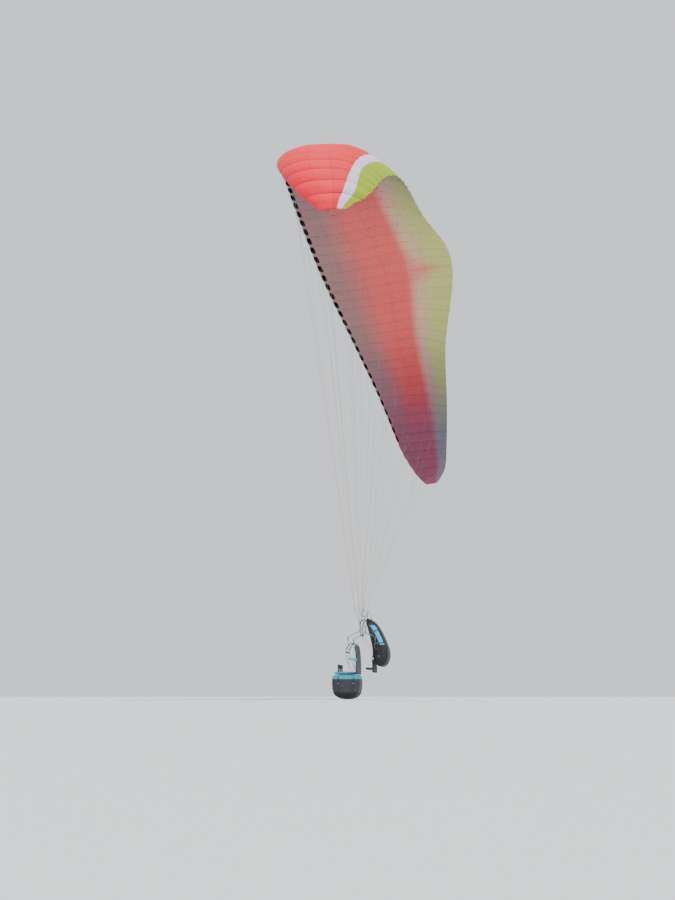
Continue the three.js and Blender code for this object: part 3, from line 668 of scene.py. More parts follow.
def flat_section(width, thick, crown=0.0):
    """Cross-section of a strap with rounded edges, crowned where it is padded."""
    w, t = width / 2, thick / 2
    r = min(t, 1.2)
    return [(-w, -t + r), (-w + r, -t), (0, -t - crown), (w - r, -t), (w, -t + r),
            (w, t - r), (w - r, t), (0, t + crown), (-w + r, t), (-w, t - r)]


def round_section(radius, sides, flatten=1.0):
    turns = [math.tau * i / sides for i in range(sides)]
    return [(radius * math.cos(a), radius * flatten * math.sin(a)) for a in turns]


def smooth_path(points, steps=6, closed=False):
    """Catmull-Rom curve through the points."""
    p = np.array(points, float)
    if closed:
        chain = np.vstack([p[-1], p, p[0], p[1]])
    else:
        chain = np.vstack([2 * p[0] - p[1], p, 2 * p[-1] - p[-2]])
    out = []
    for a, b, c, d in zip(chain, chain[1:], chain[2:], chain[3:]):
        for s in np.arange(steps) / steps:
            out.append(0.5 * (2 * b + (c - a) * s + (2 * a - 5 * b + 4 * c - d) * s * s
                              + (3 * b - a - 3 * c + d) * s ** 3))
    return np.array(out if closed else [*out, p[-1]])


def arc(radius, start, end, steps):
    """Points of x and z on an arc round the origin, angles in degrees."""
    return [(radius * math.cos(a), radius * math.sin(a)) for a in np.radians(np.linspace(start, end, steps))]


def on_side(points, side):
    return [(x, side * y, z) for x, y, z in points]


# ---------------------------------------------------------------- geometry node trees


def new_tree(name, inputs):
    """Empty geometry tree with its named inputs, and a function that returns what each one brings."""
    tree = bpy.data.node_groups.new(name, "GeometryNodeTree")
    tree.is_modifier = True
    add = tree.interface.new_socket
    add(name="Geometry", in_out="INPUT", socket_type="NodeSocketGeometry")
    for title, value in inputs.items():
        kind = "Int" if isinstance(value, int) else "Float"
        add(name=title, in_out="INPUT", socket_type="NodeSocket" + kind).default_value = value
    add(name="Material", in_out="INPUT", socket_type="NodeSocketMaterial")
    add(name="Geometry", in_out="OUTPUT", socket_type="NodeSocketGeometry")
    source = tree.nodes.new("NodeGroupInput")
    return tree, lambda title: Flow(tree, source.outputs[title])


def close_tree(tree, geometry, given):
    """Every tree ends the same way: instances made real, then the material."""
    real = feed(tree, "GeometryNodeRealizeInstances", Geometry=geometry)
    dressed = feed(tree, "GeometryNodeSetMaterial", Geometry=real, Material=given("Material"))
    node(tree, "NodeGroupOutput", i0=dressed)
    return tree


def point_value(tree, name, kind="FLOAT"):
    return feed(tree, "GeometryNodeInputNamedAttribute", {"data_type": kind}, Name=name)


def grow(source, tree, finish, values, extra=None):
    """Plain mesh of what the tree makes from the source mesh, with its inputs set by identifier."""
    carrier = bpy.data.objects.new("carrier", source)
    modifier = carrier.modifiers.new("tree", "NODES")
    modifier.node_group = tree
    values = {**values, "Material": finish}
    for item in tree.interface.items_tree:
        if item.in_out == "INPUT" and item.name in values:
            modifier[item.identifier] = values[item.name]
    if extra:
        extra(carrier)
    mesh = made_real(carrier, source)
    mesh.materials.clear()
    return mesh


def made_real(carrier, source):
    """Plain mesh of what the carrier's modifiers make of its source mesh."""
    bpy.context.scene.collection.objects.link(carrier)
    depsgraph = bpy.context.evaluated_depsgraph_get()
    mesh = bpy.data.meshes.new_from_object(carrier.evaluated_get(depsgraph), preserve_all_data_layers=True,
                                           depsgraph=depsgraph)
    bpy.data.objects.remove(carrier)
    bpy.data.meshes.remove(source)
    return mesh


def cell_billow_tree():
    """Swells each cell between its ribs, and draws fine creases into the cloth beside the seams."""
    tree, given = new_tree("cell billow", {
        "Bulge": 0.1, "Crease depth": 0.004, "Crease scale": 1.0, "Seed": 3.0,
    })
    full, cell = point_value(tree, "fullness"), point_value(tree, "cell_number")
    lift = point_value(tree, "billow") * full * point_value(tree, "cell_width") * given("Bulge")
    place = feed(tree, "ShaderNodeCombineXYZ", X=cell * 2.4, Y=point_value(tree, "chord_share") * 7.0,
                 Z=given("Seed"))
    rough = feed(tree, "ShaderNodeTexNoise", Vector=place, Scale=given("Crease scale"), Detail=2.0)
    crease = (rough - 0.5) * given("Crease depth") * full
    move = feed(tree, "ShaderNodeVectorMath", {"operation": "SCALE"},
                i0=point_value(tree, "outward", "FLOAT_VECTOR"), Scale=lift + crease)
    moved = feed(tree, "GeometryNodeSetPosition", Geometry=given("Geometry"), Offset=move)
    return close_tree(tree, moved, given)


def cord_run_tree():
    """Round cords along loose polylines, as thick as each one's girth."""
    tree, given = new_tree("cord run", {"Sides": 6, "Girth factor": 1.0})
    runs = feed(tree, "GeometryNodeMeshToCurve", Mesh=given("Geometry"))
    girth = point_value(tree, "girth") * given("Girth factor")
    ring = feed(tree, "GeometryNodeCurvePrimitiveCircle", Resolution=given("Sides"), Radius=1.0)
    cord = feed(tree, "GeometryNodeCurveToMesh", Curve=runs, Profile_Curve=ring, Scale=girth, Fill_Caps=True)
    return close_tree(tree, cord, given)


def stitch_run_tree():
    """Short thread stitches, one after another along polylines."""
    tree, given = new_tree("stitch run", {"Pitch": 0.004, "Length": 0.0026, "Thread": 0.0004})
    runs = feed(tree, "GeometryNodeMeshToCurve", Mesh=given("Geometry"))
    points = node(tree, "GeometryNodeCurveToPoints", {"mode": "LENGTH"}, Curve=runs, Length=given("Pitch"))
    thread = feed(tree, "GeometryNodeMeshCylinder", {"fill_type": "NGON"}, Vertices=5, Radius=given("Thread"),
                  Depth=given("Length"))
    spots, turns = (Flow(tree, points.outputs[name]) for name in ("Points", "Rotation"))
    stitches = feed(tree, "GeometryNodeInstanceOnPoints", Points=spots, Instance=thread, Rotation=turns)
    return close_tree(tree, stitches, given)


def line_tab_tree():
    """A tape loop at each point, standing along the line that pulls on it."""
    tree, given = new_tree("line tabs", {"Loop radius": 0.006, "Tape width": 0.009, "Tape thickness": 0.0012})
    bend = feed(tree, "GeometryNodeCurveArc", Resolution=9, Radius=given("Loop radius"),
                Start_Angle=math.radians(210), Sweep_Angle=math.radians(300))
    tape = feed(tree, "GeometryNodeCurvePrimitiveQuadrilateral", Width=given("Tape width"),
                Height=given("Tape thickness"))
    loop = feed(tree, "GeometryNodeCurveToMesh", Curve=bend, Profile_Curve=tape, Fill_Caps=True)
    stand = feed(tree, "FunctionNodeAxesToRotation", {"primary_axis": "X", "secondary_axis": "Z"},
                 Primary_Axis=point_value(tree, "pull", "FLOAT_VECTOR"),
                 Secondary_Axis=point_value(tree, "spanwise", "FLOAT_VECTOR"))
    tabs = feed(tree, "GeometryNodeInstanceOnPoints", Points=given("Geometry"), Instance=loop, Rotation=stand)
    return close_tree(tree, tabs, given)


CELL_BILLOW = cell_billow_tree()
CORD_RUN = cord_run_tree()
STITCH_RUN = stitch_run_tree()
LINE_TABS = line_tab_tree()


def polyline_mesh(runs, girths=None):
    """Loose polylines as a mesh of edges, each with its girth in millimetres."""
    points, edges, girth = [], [], []
    for run, thick in zip(runs, girths or [1.0] * len(runs)):
        edges += [(len(points) + k, len(points) + k + 1) for k in range(len(run) - 1)]
        points += [tuple(p) for p in run]
        girth += [0.001 * thick] * len(run)
    mesh = mesh_of("runs", points, edges=edges)
    point_values(mesh, girth=girth)
    return mesh


def sewn(name, body, runs, slot, thread=PALE_THREAD, pitch=4.0, length=2.7, size=0.45):
    """Rows of stitches along these polylines."""
    mesh = grow(polyline_mesh(runs), STITCH_RUN, thread, {
        "Pitch": pitch * 0.001, "Length": length * 0.001, "Thread": size * 0.001,
    })
    finished(mesh, name, body, thread, slot)


# ---------------------------------------------------------------- wing shape


def table_at(column, t):
    """Smooth reading of a planform column between its stations."""
    stations, values = PLANFORM[:, 0], PLANFORM[:, column]
    last = len(stations) - 1
    after = [min(k + 1, last) for k in range(1, last + 1)]
    slopes = np.array([0.0] + [(values[b] - values[k]) / (stations[b] - stations[k])
                               for k, b in enumerate(after)])
    i = np.clip(np.searchsorted(stations, t, "left") - 1, 0, last - 1)
    w = stations[i + 1] - stations[i]
    s = (t - stations[i]) / w
    return ((2 * s ** 3 - 3 * s ** 2 + 1) * values[i] + (s ** 3 - 2 * s ** 2 + s) * w * slopes[i]
            + (3 * s ** 2 - 2 * s ** 3) * values[i + 1] + (s ** 3 - s ** 2) * w * slopes[i + 1])


def arch_roll(t):
    return ARCH_LINEAR * t + ARCH_CUBIC * t ** 3 + ARCH_SIXTH * t ** 6


ARCH_STEPS = 400
ARCH_T = np.linspace(0, 1, ARCH_STEPS + 1)
ARCH_ROLLS = arch_roll((np.arange(ARCH_STEPS) + 0.5) / ARCH_STEPS)
ARCH_Y, ARCH_DROP = (np.r_[0, np.cumsum(part) * HALF_ARC / ARCH_STEPS]
                     for part in (np.cos(ARCH_ROLLS), np.sin(ARCH_ROLLS)))


def cell_share(cell):
    q = np.minimum(np.abs(cell) / HALF_CELLS, 1.0)
    return (1 + CELL_TAPER) * q - CELL_TAPER * q ** 3


def cell_width(cell):
    c = np.minimum(np.abs(cell), HALF_CELLS - 0.5)
    reach = np.where(c < 0.5, c + 0.5, 1.0)
    return (cell_share(c + 0.5) - cell_share(np.maximum(c - 0.5, 0))) * HALF_ARC / reach


LE_HEIGHT = 0.0


def wing_point(cell, along_share, rise_share, lift=0.0, thin=1.0):
    """A point of the wing at a cell number, from shares of the chord along and above the rib's line."""
    cell, along_share = np.broadcast_arrays(np.asarray(cell, float), np.asarray(along_share, float))
    t = cell_share(cell)
    side = np.where(cell < 0, -1.0, 1.0)
    back, chord, thick, droop, twist = (table_at(k, t) for k in range(1, 6))
    roll = arch_roll(t)
    droop = droop * (np.maximum(0, along_share - DROOP_FROM) / (1 - DROOP_FROM)) ** DROOP_POWER
    along = along_share * chord
    up = (rise_share * thick * thin - droop) * chord + lift
    behind = along * np.cos(twist) - up * np.sin(twist)
    rise = along * np.sin(twist) + up * np.cos(twist)
    arch_y, arch_drop = np.interp(t, ARCH_T, ARCH_Y), np.interp(t, ARCH_T, ARCH_DROP)
    return np.stack([
        LE_AHEAD - back - behind,
        side * (arch_y + rise * np.sin(roll)),
        LE_HEIGHT - arch_drop + rise * np.cos(roll),
    ], -1)


# The leading edge is so high that the lower skin at the B row hangs the full drop above the carabiners
LE_HEIGHT = HANG_DROP - float(wing_point(0.0, 0.300, -0.042)[2])

CHAIN = smooth_path([(1, 0, 0)] + [(x, low, full) for x, up, low, full in PROFILE[::-1]] + [(0, 0, 0.45)]
                    + [(x, up, full) for x, up, low, full in PROFILE] + [(1, 0, 0)], 24)
NOSE = int(np.argmin(CHAIN[:, 0]))
UNDER, OVER = CHAIN[:NOSE + 1][::-1], CHAIN[NOSE:]


def rows_at(shares, surface):
    """Rows of share, rise and fullness on one surface of the rib."""
    return [[s, *(np.interp(s, surface[:, 0], surface[:, k]) for k in (1, 2))] for s in shares]


def nose_rows(count):
    """Rows round the nose, from the inlet's lower lip up to the first row of the upper surface."""
    first = int(np.argmin(np.abs(CHAIN[:NOSE, 0] - INLET_START)))
    last = NOSE + int(np.argmin(np.abs(OVER[:, 0] - PROFILE[0, 0])))
    return [list(CHAIN[i]) for i in np.unique(np.linspace(first, last, count).astype(int))[1:]]


UPPER_SHARES = [0.02, 0.03, 0.045, 0.06, 0.08, 0.10, 0.13, 0.16, 0.19, 0.225, 0.26, 0.30, 0.34, 0.38, 0.42,
                0.47, 0.52, 0.56, 0.60, 0.64, 0.68, 0.71, 0.74, 0.77, 0.80, 0.83, 0.86, 0.885, 0.91, 0.935,
                0.96, 0.98, 1.0]
LOWER_SHARES = [1.0, 0.98, 0.96, 0.935, 0.91, 0.885, 0.86, 0.83, 0.80, 0.77, 0.74, 0.71, 0.68, 0.64, 0.60,
                0.56, 0.52, 0.48, 0.44, 0.40, 0.36, 0.33, 0.30, 0.27, 0.24, 0.21, 0.19, 0.16, 0.13, 0.10,
                0.085, 0.07, 0.06, INLET_END, 0.042, 0.032, 0.022, INLET_START]
CELL_STEPS = (0.0, 0.08, 0.16, 0.32, 0.5, 0.68, 0.84, 0.92)
TIP_CLOSE = 22.4
TAIL_FROM, TAIL_ARCH, TAIL_PULL, WEAK_PULL = 0.86, 0.085, 0.05, 0.45
SKIN_THICK, RIB_THICK = 0.0012, 0.0008
WHOLE_FACE = (0, 1, 2, 3)


def skin_mesh(rows, kept_corners):
    """Grid of one skin without its billow, with the values that the billow and the colours follow."""
    cells = [c + f for c in range(-HALF_CELLS, HALF_CELLS) for f in CELL_STEPS]
    cells = np.array([*cells, HALF_CELLS], float)
    phase = cells - np.floor(cells)
    count = len(rows)
    shares, rises, full = rows.T
    slack = 1 - (2 * phase - 1) ** 2
    closing = np.clip((HALF_CELLS - np.abs(cells)) / (HALF_CELLS - TIP_CLOSE), 0, 1)
    thin = np.sqrt(np.clip(1 - (1 - closing) ** 2, 0.0004, 1))
    # The brakes pull on every second rib
    pull = (np.where(np.round(cells) % 2 == 0, 1.0, WEAK_PULL)
            * np.clip(1 - 2.2 * np.minimum(phase, 1 - phase), 0, 1))
    tail = np.clip((shares - TAIL_FROM) / (1 - TAIL_FROM), 0, 1) ** 2
    width = cell_width(cells)
    lift = np.outer((TAIL_ARCH * slack - TAIL_PULL * pull) * width, tail)
    points = wing_point(cells[:, None], shares[None, :], rises[None, :], lift, thin[:, None])
    out = np.cross(np.gradient(points, axis=0), np.gradient(points, axis=1))
    out /= np.maximum(np.linalg.norm(out, axis=2, keepdims=True), 1e-9)
    faces = []
    for j in range(len(cells) - 1):
        for i in range(count - 1):
            a, b = j * count + i, (j + 1) * count + i
            corners = (a, b, b + 1, a + 1)
            kept = kept_corners(cells[j], cells[j + 1], shares[i], shares[i + 1])
            if kept:
                faces.append([corners[k] for k in kept])
    mesh = mesh_of("skin", points, faces)
    point_values(mesh, cell_number=np.repeat(cells, count), chord_share=np.tile(shares, len(cells)),
                 cell_width=np.repeat(width, count) * 0.001, billow=np.repeat(slack, count),
                 fullness=np.outer(closing, full))
    point_values(mesh, "FLOAT_VECTOR", outward=out)
    arc_place = np.sign(cells) * cell_share(cells) * HALF_ARC
    chord_place = np.outer(table_at(2, cell_share(cells)), travelled(rows[:, :2]))
    lay_cloth(mesh, np.stack([np.repeat(arc_place, count), chord_place.ravel()], -1) * 0.001)
    return mesh


def cloth_wall(thickness):
    """A step for grow(): gives the skin its cloth's thickness, towards the inside."""
    def step(carrier):
        wall = carrier.modifiers.new("cloth", "SOLIDIFY")
        wall.thickness = thickness
        wall.offset = -1
    return step


def skin(name, rows, kept_corners, bulge, material, flat_share, replaces):
    """One skin with its billow and its cloth's thickness, the darker cloth where it looks into the cells:
    painted shade inside the cells.
    """
    mesh = grow(skin_mesh(np.array(rows), kept_corners), CELL_BILLOW, material, {
        "Bulge": bulge, "Crease depth": 0.010, "Crease scale": 1.0, "Seed": 3.0,
    }, cloth_wall(SKIN_THICK))
    mesh.materials.append(material)
    # The inner faces take the darker cloth: painted shade inside the cells
    mesh.materials.append(INNER_CLOTH_SHADE)
    # The wall's outer faces come first, then as many inner ones, then the rim
    half = len(mesh.vertices) // 2
    outer_faces = next(i for i, face in enumerate(mesh.polygons) if face.vertices[0] >= half)
    mesh.polygons.foreach_set("material_index", [int(i >= outer_faces) for i in range(len(mesh.polygons))])
    made = placed_on(mesh, name, "wing", "canopy", replaces, 32)
    area = 2 * HALF_ARC * float(np.mean(table_at(2, np.linspace(0, 1, 400)))) * flat_share * 1e-6


def lower_corners(c0, c1, s0, s1):
    """Leaves out the nose openings, whose rounded corners take one corner off the face there."""
    cell = math.floor((c0 + c1) / 2)
    number = cell if cell >= 0 else -cell - 1
    if number >= OPEN_CELLS or min(s0, s1) > INLET_END - 1e-6:
        return WHOLE_FACE
    f0, f1 = c0 - cell, c1 - cell
    if f1 < INLET_SIDE + 1e-6 or f0 > 1 - INLET_SIDE - 1e-6:
        return WHOLE_FACE
    at_side = "first" if f0 < 0.2 else "last" if f1 > 0.8 else None
    at_row = "rear" if s0 > INLET_END - 1e-6 else "front" if s1 < INLET_START + 1e-6 else None
    cut = {("first", "rear"): 2, ("last", "rear"): 3, ("first", "front"): 1, ("last", "front"): 0}
    if (at_side, at_row) not in cut:
        return ()
    return tuple(k for k in WHOLE_FACE if k != cut[at_side, at_row])


CANOPY_NODES = ["canopy_center"] + [f"canopy_{side}_{k}" for side, _ in SIDES for k in (1, 2, 3, 4)]
skin("canopy_upper_skin", rows_at([INLET_START], UNDER) + nose_rows(9) + rows_at(UPPER_SHARES, OVER),
     lambda *_: WHOLE_FACE, BULGE_UP, UPPER_CLOTH, flat_share=1.05, replaces=CANOPY_NODES)
skin("canopy_lower_skin", rows_at(LOWER_SHARES, UNDER), lower_corners, BULGE_DOWN, LOWER_CLOTH,
     flat_share=1.0, replaces=())

RIB_BAYS = (INLET_START, 0.055, 0.145, 0.245, 0.36, 0.475, 0.60)
RIB_PORTS = (0, 0.026, 0.034, 0.037, 0.033, 0.026)
RIB_TAIL = (0.60, 0.66, 0.72, 0.78, 0.84, 0.90, 0.95, 0.985)


def rib_edges(share):
    """Lower and upper edge of a rib at a share of its chord, just inside the skins."""
    return 0.95 * np.interp(share, *UNDER.T[:2]), 0.97 * np.interp(share, *OVER.T[:2])


def rib_plan():
    """A rib's points and faces in shares of its chord: bays with a round port each, then a plain tail."""
    points, faces = [], []
    for first, last, port in zip(RIB_BAYS, RIB_BAYS[1:], RIB_PORTS):
        steps = np.linspace(first, last, 5)
        rings = [[(s, rib_edges(s)[0]) for s in steps] + [(s, rib_edges(s)[1]) for s in steps[::-1]]]
        if port:
            x, z = (first + last) / 2, sum(rib_edges((first + last) / 2)) / 2
            rings.append([(x + u, z - v) for u, v in round_section(port, 16, 0.85)])
        start = len(points)
        points += [p for ring in rings for p in ring]
        flat = tessellate_polygon([[Vector((x, z, 0)) for x, z in ring] for ring in rings])
        faces += [tuple(start + i for i in face) for face in flat]
    start = len(points)
    points += [(s, edge) for s in RIB_TAIL for edge in rib_edges(s)]
    faces += [(k, k + 2, k + 3, k + 1) for k in range(start, len(points) - 2, 2)]
    return np.array(points), faces


def ribs():
    """Cloth ribs between the cells, seen through the nose openings."""
    shape = Shape()
    flat, faces = rib_plan()
    for rib in range(-HALF_CELLS + 1, HALF_CELLS):
        shape.add(wing_point(float(rib), flat[:, 0], flat[:, 1]), faces)
    mesh = mesh_of("canopy_ribs", shape.points, shape.faces)
    work = bmesh.new()
    work.from_mesh(mesh)
    bmesh.ops.remove_doubles(work, verts=work.verts, dist=0.0001)
    work.to_mesh(mesh)
    work.free()
    carrier = bpy.data.objects.new("carrier", mesh)
    cloth_wall(RIB_THICK)(carrier)
    made = finished(made_real(carrier, mesh), "canopy_ribs", "wing", RIB_CLOTH, "canopy", smooth=30)


ribs()

# ---------------------------------------------------------------- lines

CORD_GIRTHS = (1.5, 1.2, 1.0)
SPLICE_LENGTH, SPLICE_GIRTH = 70, 1.35
KNOT_GIRTH, KNOTTED_FROM = 1.9, 400
LINK_LOOPS = {"a": (-5.5, 0, 5.5), "b": (-7, -2.4, 2.4, 7), "c": (-5.5, 0, 5.5)}
ROW_LOOKS = {"a": (RED_CORD, "line_red"), "b": (GREEN_CORD, "line_green"), "c": (GREY_CORD, "line_grey")}
UNDER_SKIN = -0.5
line_tabs = []


def row_top(rib, side, row):
    share = ROW_X[row]
    low = PROFILE[PROFILE[:, 0] == share][0, 2]
    return wing_point(float(side * rib), share, low, UNDER_SKIN)


def junction(kids, anchor, share):
    middle = np.mean([kid["at"] for kid in kids], 0)
    return {"at": middle + (anchor - middle) * share, "kids": kids}


def forks_of(groups, top_of, anchor):
    """First junctions under the skin; each of their line ends is kept as the place of a sewn tab."""
    forks = []
    for ribs_here in groups:
        fork = junction([{"at": top_of(rib), "rib": rib, "kids": []} for rib in ribs_here], anchor, TOP_SHARE)
        line_tabs.extend((kid["at"], fork["at"], kid["rib"]) for kid in fork["kids"])
        forks.append(fork)
    return forks


def lengths_of(start, tree, level=0):
    """Every length of line from one junction up to the next, with its level."""
    yield level, start, tree["at"]
    for kid in tree["kids"]:
        yield from lengths_of(tree["at"], kid, level + 1)


def hang_up(foot, tree, mains, uppers):
    """A tree's lengths with thicker sewn ends, and a small knot where the next lines are looped on."""
    for level, low, high in lengths_of(foot, tree):
        girth = CORD_GIRTHS[min(level, 2)]
        along, length = unit(high - low), np.linalg.norm(high - low)
        splice = along * min(SPLICE_LENGTH, length / 4)
        kept = uppers if level else mains
        kept += [([low, high], girth), ([low, low + splice], girth * SPLICE_GIRTH),
                 ([high - splice, high], girth * SPLICE_GIRTH)]
        if level < 2 and length > KNOTTED_FROM:
            kept.append(([high - along * 9, high - along * 4.5, high + along * 1.5], girth * KNOT_GIRTH))


def main_trees(side, row):
    x, z = RISER_TOPS[row]
    anchor = np.array([x, side * SIDE_Y, z + LINK_RISE + LINK_LOOP_OUT + FOOT_RISE], float)
    forks = forks_of(TOP_GROUPS, lambda rib: row_top(rib, side, row), anchor)
    rear = forks_of(TOP_GROUPS, lambda rib: row_top(rib, side, "d"), anchor) if row == "c" else []
    mains = [junction([f for k in group for f in [forks[k], *rear[k:k + 1]]], anchor, MAIN_SHARE - TOP_SHARE)
             for group in MAIN_GROUPS]
    if row == "b":
        mains += forks_of([STABILO_RIBS], lambda rib: row_top(rib, side, row), anchor)
    return mains


def cord_piece(name, runs, finish, slot, replaces=()):
    mesh = grow(polyline_mesh(*zip(*runs)), CORD_RUN, finish, {"Sides": 6, "Girth factor": 1.0})
    finished(mesh, name, "wing", finish, slot, replaces)


def line_row(name, side, row):
    """Main lines of one row on one side, looped round their link, and the forks above them."""
    x, z = RISER_TOPS[row]
    bar = z + LINK_RISE
    mains, uppers = [], []
    for tree, across in zip(main_trees(side, row), LINK_LOOPS[row]):
        y = side * SIDE_Y + across
        foot = np.array([x, y, bar + 17.0])
        bend = [(x + u, y, bar + w) for u, w in arc(LINK_ROD + 1.6, 20, -200, 10)]
        loop = [foot, (x + 0.7, y, bar + 16), *bend, (x - 0.7, y, bar + 16), foot]
        mains.append((smooth_path(loop, 3), 1.1))
        hang_up(foot, tree, mains, uppers)
    finish, slot = ROW_LOOKS[row]
    cord_piece(f"main_lines_{row}_{name}", mains, finish, slot, [f"lines_{row}_{name}"])
    cord_piece(f"upper_lines_{row}_{name}", uppers, UPPER_CORD_SHADED, slot)


def brake_set(name, side):
    """Brake line from its handle through the pulley, then its fan to the trailing edge."""
    y = side * SIDE_Y
    pulley = np.array([PULLEY_X, y, PULLEY_Z + 60], float)
    forks = forks_of(BRAKE_GROUPS, lambda rib: wing_point(float(side * rib), 1.0, 0.0, UNDER_SKIN), pulley)
    handle = (PULLEY_X, y, HANDLE_TOP + 1)
    mains = [([handle, (PULLEY_X, y, PULLEY_Z + 4), pulley], 1.4),
             ([handle, (PULLEY_X, y, HANDLE_TOP + 7)], 3.2)]
    uppers = []
    hang_up(pulley, junction(forks, pulley, BRAKE_SHARE - TOP_SHARE), mains, uppers)
    cord_piece(f"brake_main_{name}", mains, GREEN_CORD, "line_green", [f"brake_lines_{name}"])
    cord_piece(f"brake_fan_{name}", uppers, UPPER_CORD_SHADED, "line_green")


def tabs():
    """Tape loops under the skins and at the trailing edge, one for every line end."""
    points, pulls, spans = [], [], []
    for top, fork, rib in line_tabs:
        side = 1.0 if top[1] > 0 else -1.0
        pull = unit(fork - top)
        outer, inner = (wing_point(side * (rib - back), 0.3, -0.042) for back in (0.3, 0.6))
        points.append(top + pull * 6)
        pulls.append(pull)
        spans.append(unit(outer - inner))
    mesh = mesh_of("tabs", points)
    point_values(mesh, "FLOAT_VECTOR", pull=pulls, spanwise=spans)
    mesh = grow(mesh, LINE_TABS, BLACK_STRAP,
                {"Loop radius": 0.006, "Tape width": 0.009, "Tape thickness": 0.0012})
    finished(mesh, "line_tabs", "wing", BLACK_STRAP, "webbing", smooth=50)


# ---------------------------------------------------------------- straps, links, carabiners

STRAP_THICK = 2.4
ROD_REACH = ROD + STRAP_THICK / 2 + 0.3
WEB_SECTION = flat_section(WEB, STRAP_THICK)
LIGHT_WEB_SECTION = flat_section(WEB, 2.0)
STITCH_BOX = 17
BUCKLE_ROD = 2.0
HIP_PIN_R = 4


def half_turn(bar, radius, ahead, aside, steps):
    """Points of x and z round the far side of a bar."""
    return [bar + radius * (ahead * math.sin(a) - aside * math.cos(a))
            for a in np.linspace(0, math.pi, steps)]


def lap(start, bar, radius, back, gap=STRAP_THICK / 2 + 0.1):
    """Line in x and z of a strap that runs to a bar, round it, and back along itself."""
    start, bar = vectors(start, bar)
    d = unit(bar - start)
    n = np.array([-d[1], d[0]])
    neck = bar - d * radius * 2.2
    turn = half_turn(bar, radius, d, n, 11)
    return [start - n * gap, neck - n * gap, *turn, neck + n * gap, bar - d * back + n * gap]


def upright(line, y):
    """Points of x and z stood at one y."""
    return [(x, y, z) for x, z in line]


def cross_stitch(centre, along, out, length, away=STRAP_THICK + 0.4):
    """Sewn box with a cross in it, on both faces of two straps laid on each other."""
    centre, along, out = vectors(centre, along, out)
    side = np.cross(along, out)
    runs = []
    for face in (-1, 1):
        a, b, c, d = (centre + along * (u * length / 2) + side * (v * STITCH_BOX / 2) + out * (away * face)
                      for u, v in ((-1, -1), (1, -1), (1, 1), (-1, 1)))
        runs += [[a, b, c, d, a], [a, c], [b, d]]
    return runs


def strap_stitches(bar, start, y, gaps, length=34):
    """Sewn boxes on a strap of x and z, at these gaps from the bar that it runs to."""
    bar, start = vectors(bar, start)
    d = unit(bar - start)
    along, out = (d[0], 0, d[1]), (-d[1], 0, d[0])
    spots = [np.insert(bar - d * gap, 1, y) for gap in gaps]
    return [run for spot in spots for run in cross_stitch(spot, along, out, length)]


def ring_of_rod(x, y, low, width, rise, corner, radius, sides):
    """Closed rod round a rounded rectangle in y and z."""
    half = width / 2 - corner
    points = []
    for v, h, start in ((half, corner, -90), (half, rise - corner, 0), (-half, rise - corner, 90),
                        (-half, corner, 180)):
        points += [(x, y + v + u, low + h + w) for u, w in arc(corner, start, start + 90, 6)]
    return Shape().sweep(points, round_section(radius, sides), (1, 0, 0), closed=True)


def screw_link(name, row, side):
    """Bright rod, with a hexagonal sleeve over the gap in its outer side."""
    x, z = RISER_TOPS[row]
    y = side * SIDE_Y
    shape = ring_of_rod(x, y, z, LINK_WIDTH, LINK_RISE, 4, LINK_ROD, 10)
    outer = y + side * LINK_WIDTH / 2
    shape.stand(x, outer, round_section(4.4, 6), [(z + 13, 0.86), (z + 14, 1), (z + 28, 1), (z + 29, 0.86)])
    shape.stand(x, outer, round_section(3.1, 10), [(z + h, 1) for h in (29.2, 30, 31.4, 32.4)])
    shape.piece(f"screw_link_{row}_{name}", "wing", STEEL, "steel", [f"link_{row}_{name}"])


def carabiner(name, who, x, top, side, body):
    """Alloy carabiner: its body, a gate with pins, and the black twist sleeve round the gate."""
    y, low = side * SIDE_Y, top - CARABINER_DROP
    shape = ring_of_rod(x, y, low, CARABINER_WIDTH, CARABINER_DROP, 9, ROD, 12)
    outer = y + side * CARABINER_WIDTH / 2
    for z in (low + 16, top - 16):
        shape.loft([[(x + h, outer + u, z + v) for u, v in round_section(1.6, 8)]
                    for h in (-6.2, -5.6, 5.6, 6.2)])
    shape.piece(f"{who}_carabiner_body_{name}", body, ALLOY, "alloy", [f"carabiner_{who}_{name}"])
    ridged = [(u * r, v * r) for (u, v), r in zip(round_section(1, 24), [6.9, 7.25] * 12)]
    sleeve = Shape()
    sleeve.stand(x, outer, ridged, [(low + h, k) for h, k in (
        (22, 0.86), (23.5, 1), (48, 1), (49.5, 0.92), (55, 0.92), (56, 0.84))])
    sleeve.piece(f"{who}_carabiner_sleeve_{name}", body, MOULDED, "grip", smooth=50)


def ladder_buckle(shape, centre, along, side, wide=WEB, long=22):
    """Flat metal frame with a cross bar, that a strap is threaded through."""
    centre, along, side = vectors(centre, along, side)
    along, side = unit(along), unit(side)
    out = np.cross(along, side)
    rod = round_section(BUCKLE_ROD * 1.15, 8, 0.8 / 1.15)
    half, reach = wide / 2 + 4, long / 2
    outline = []
    for u, v in ((-1, -1), (1, -1), (1, 1), (-1, 1)):
        corner = centre + side * (u * half) + along * (v * reach)
        ends = [corner - side * (u * 3), corner - along * (v * 3)]
        outline += ends if u == v else ends[::-1]
    shape.sweep(outline, rod, out, closed=True)
    shape.sweep([centre - side * half, centre, centre + side * half], rod, out)


# Along the buckle, its half width as a share and its half thickness
CLIP_STATIONS = [(-31, 0.80, 2.6), (-29, 0.92, 3.6), (-16, 1.0, 5.2), (2, 1.0, 5.2), (5, 0.86, 4.4),
                 (8, 0.86, 4.4), (10, 0.98, 4.8), (24, 0.98, 4.0), (29, 0.88, 3.0)]


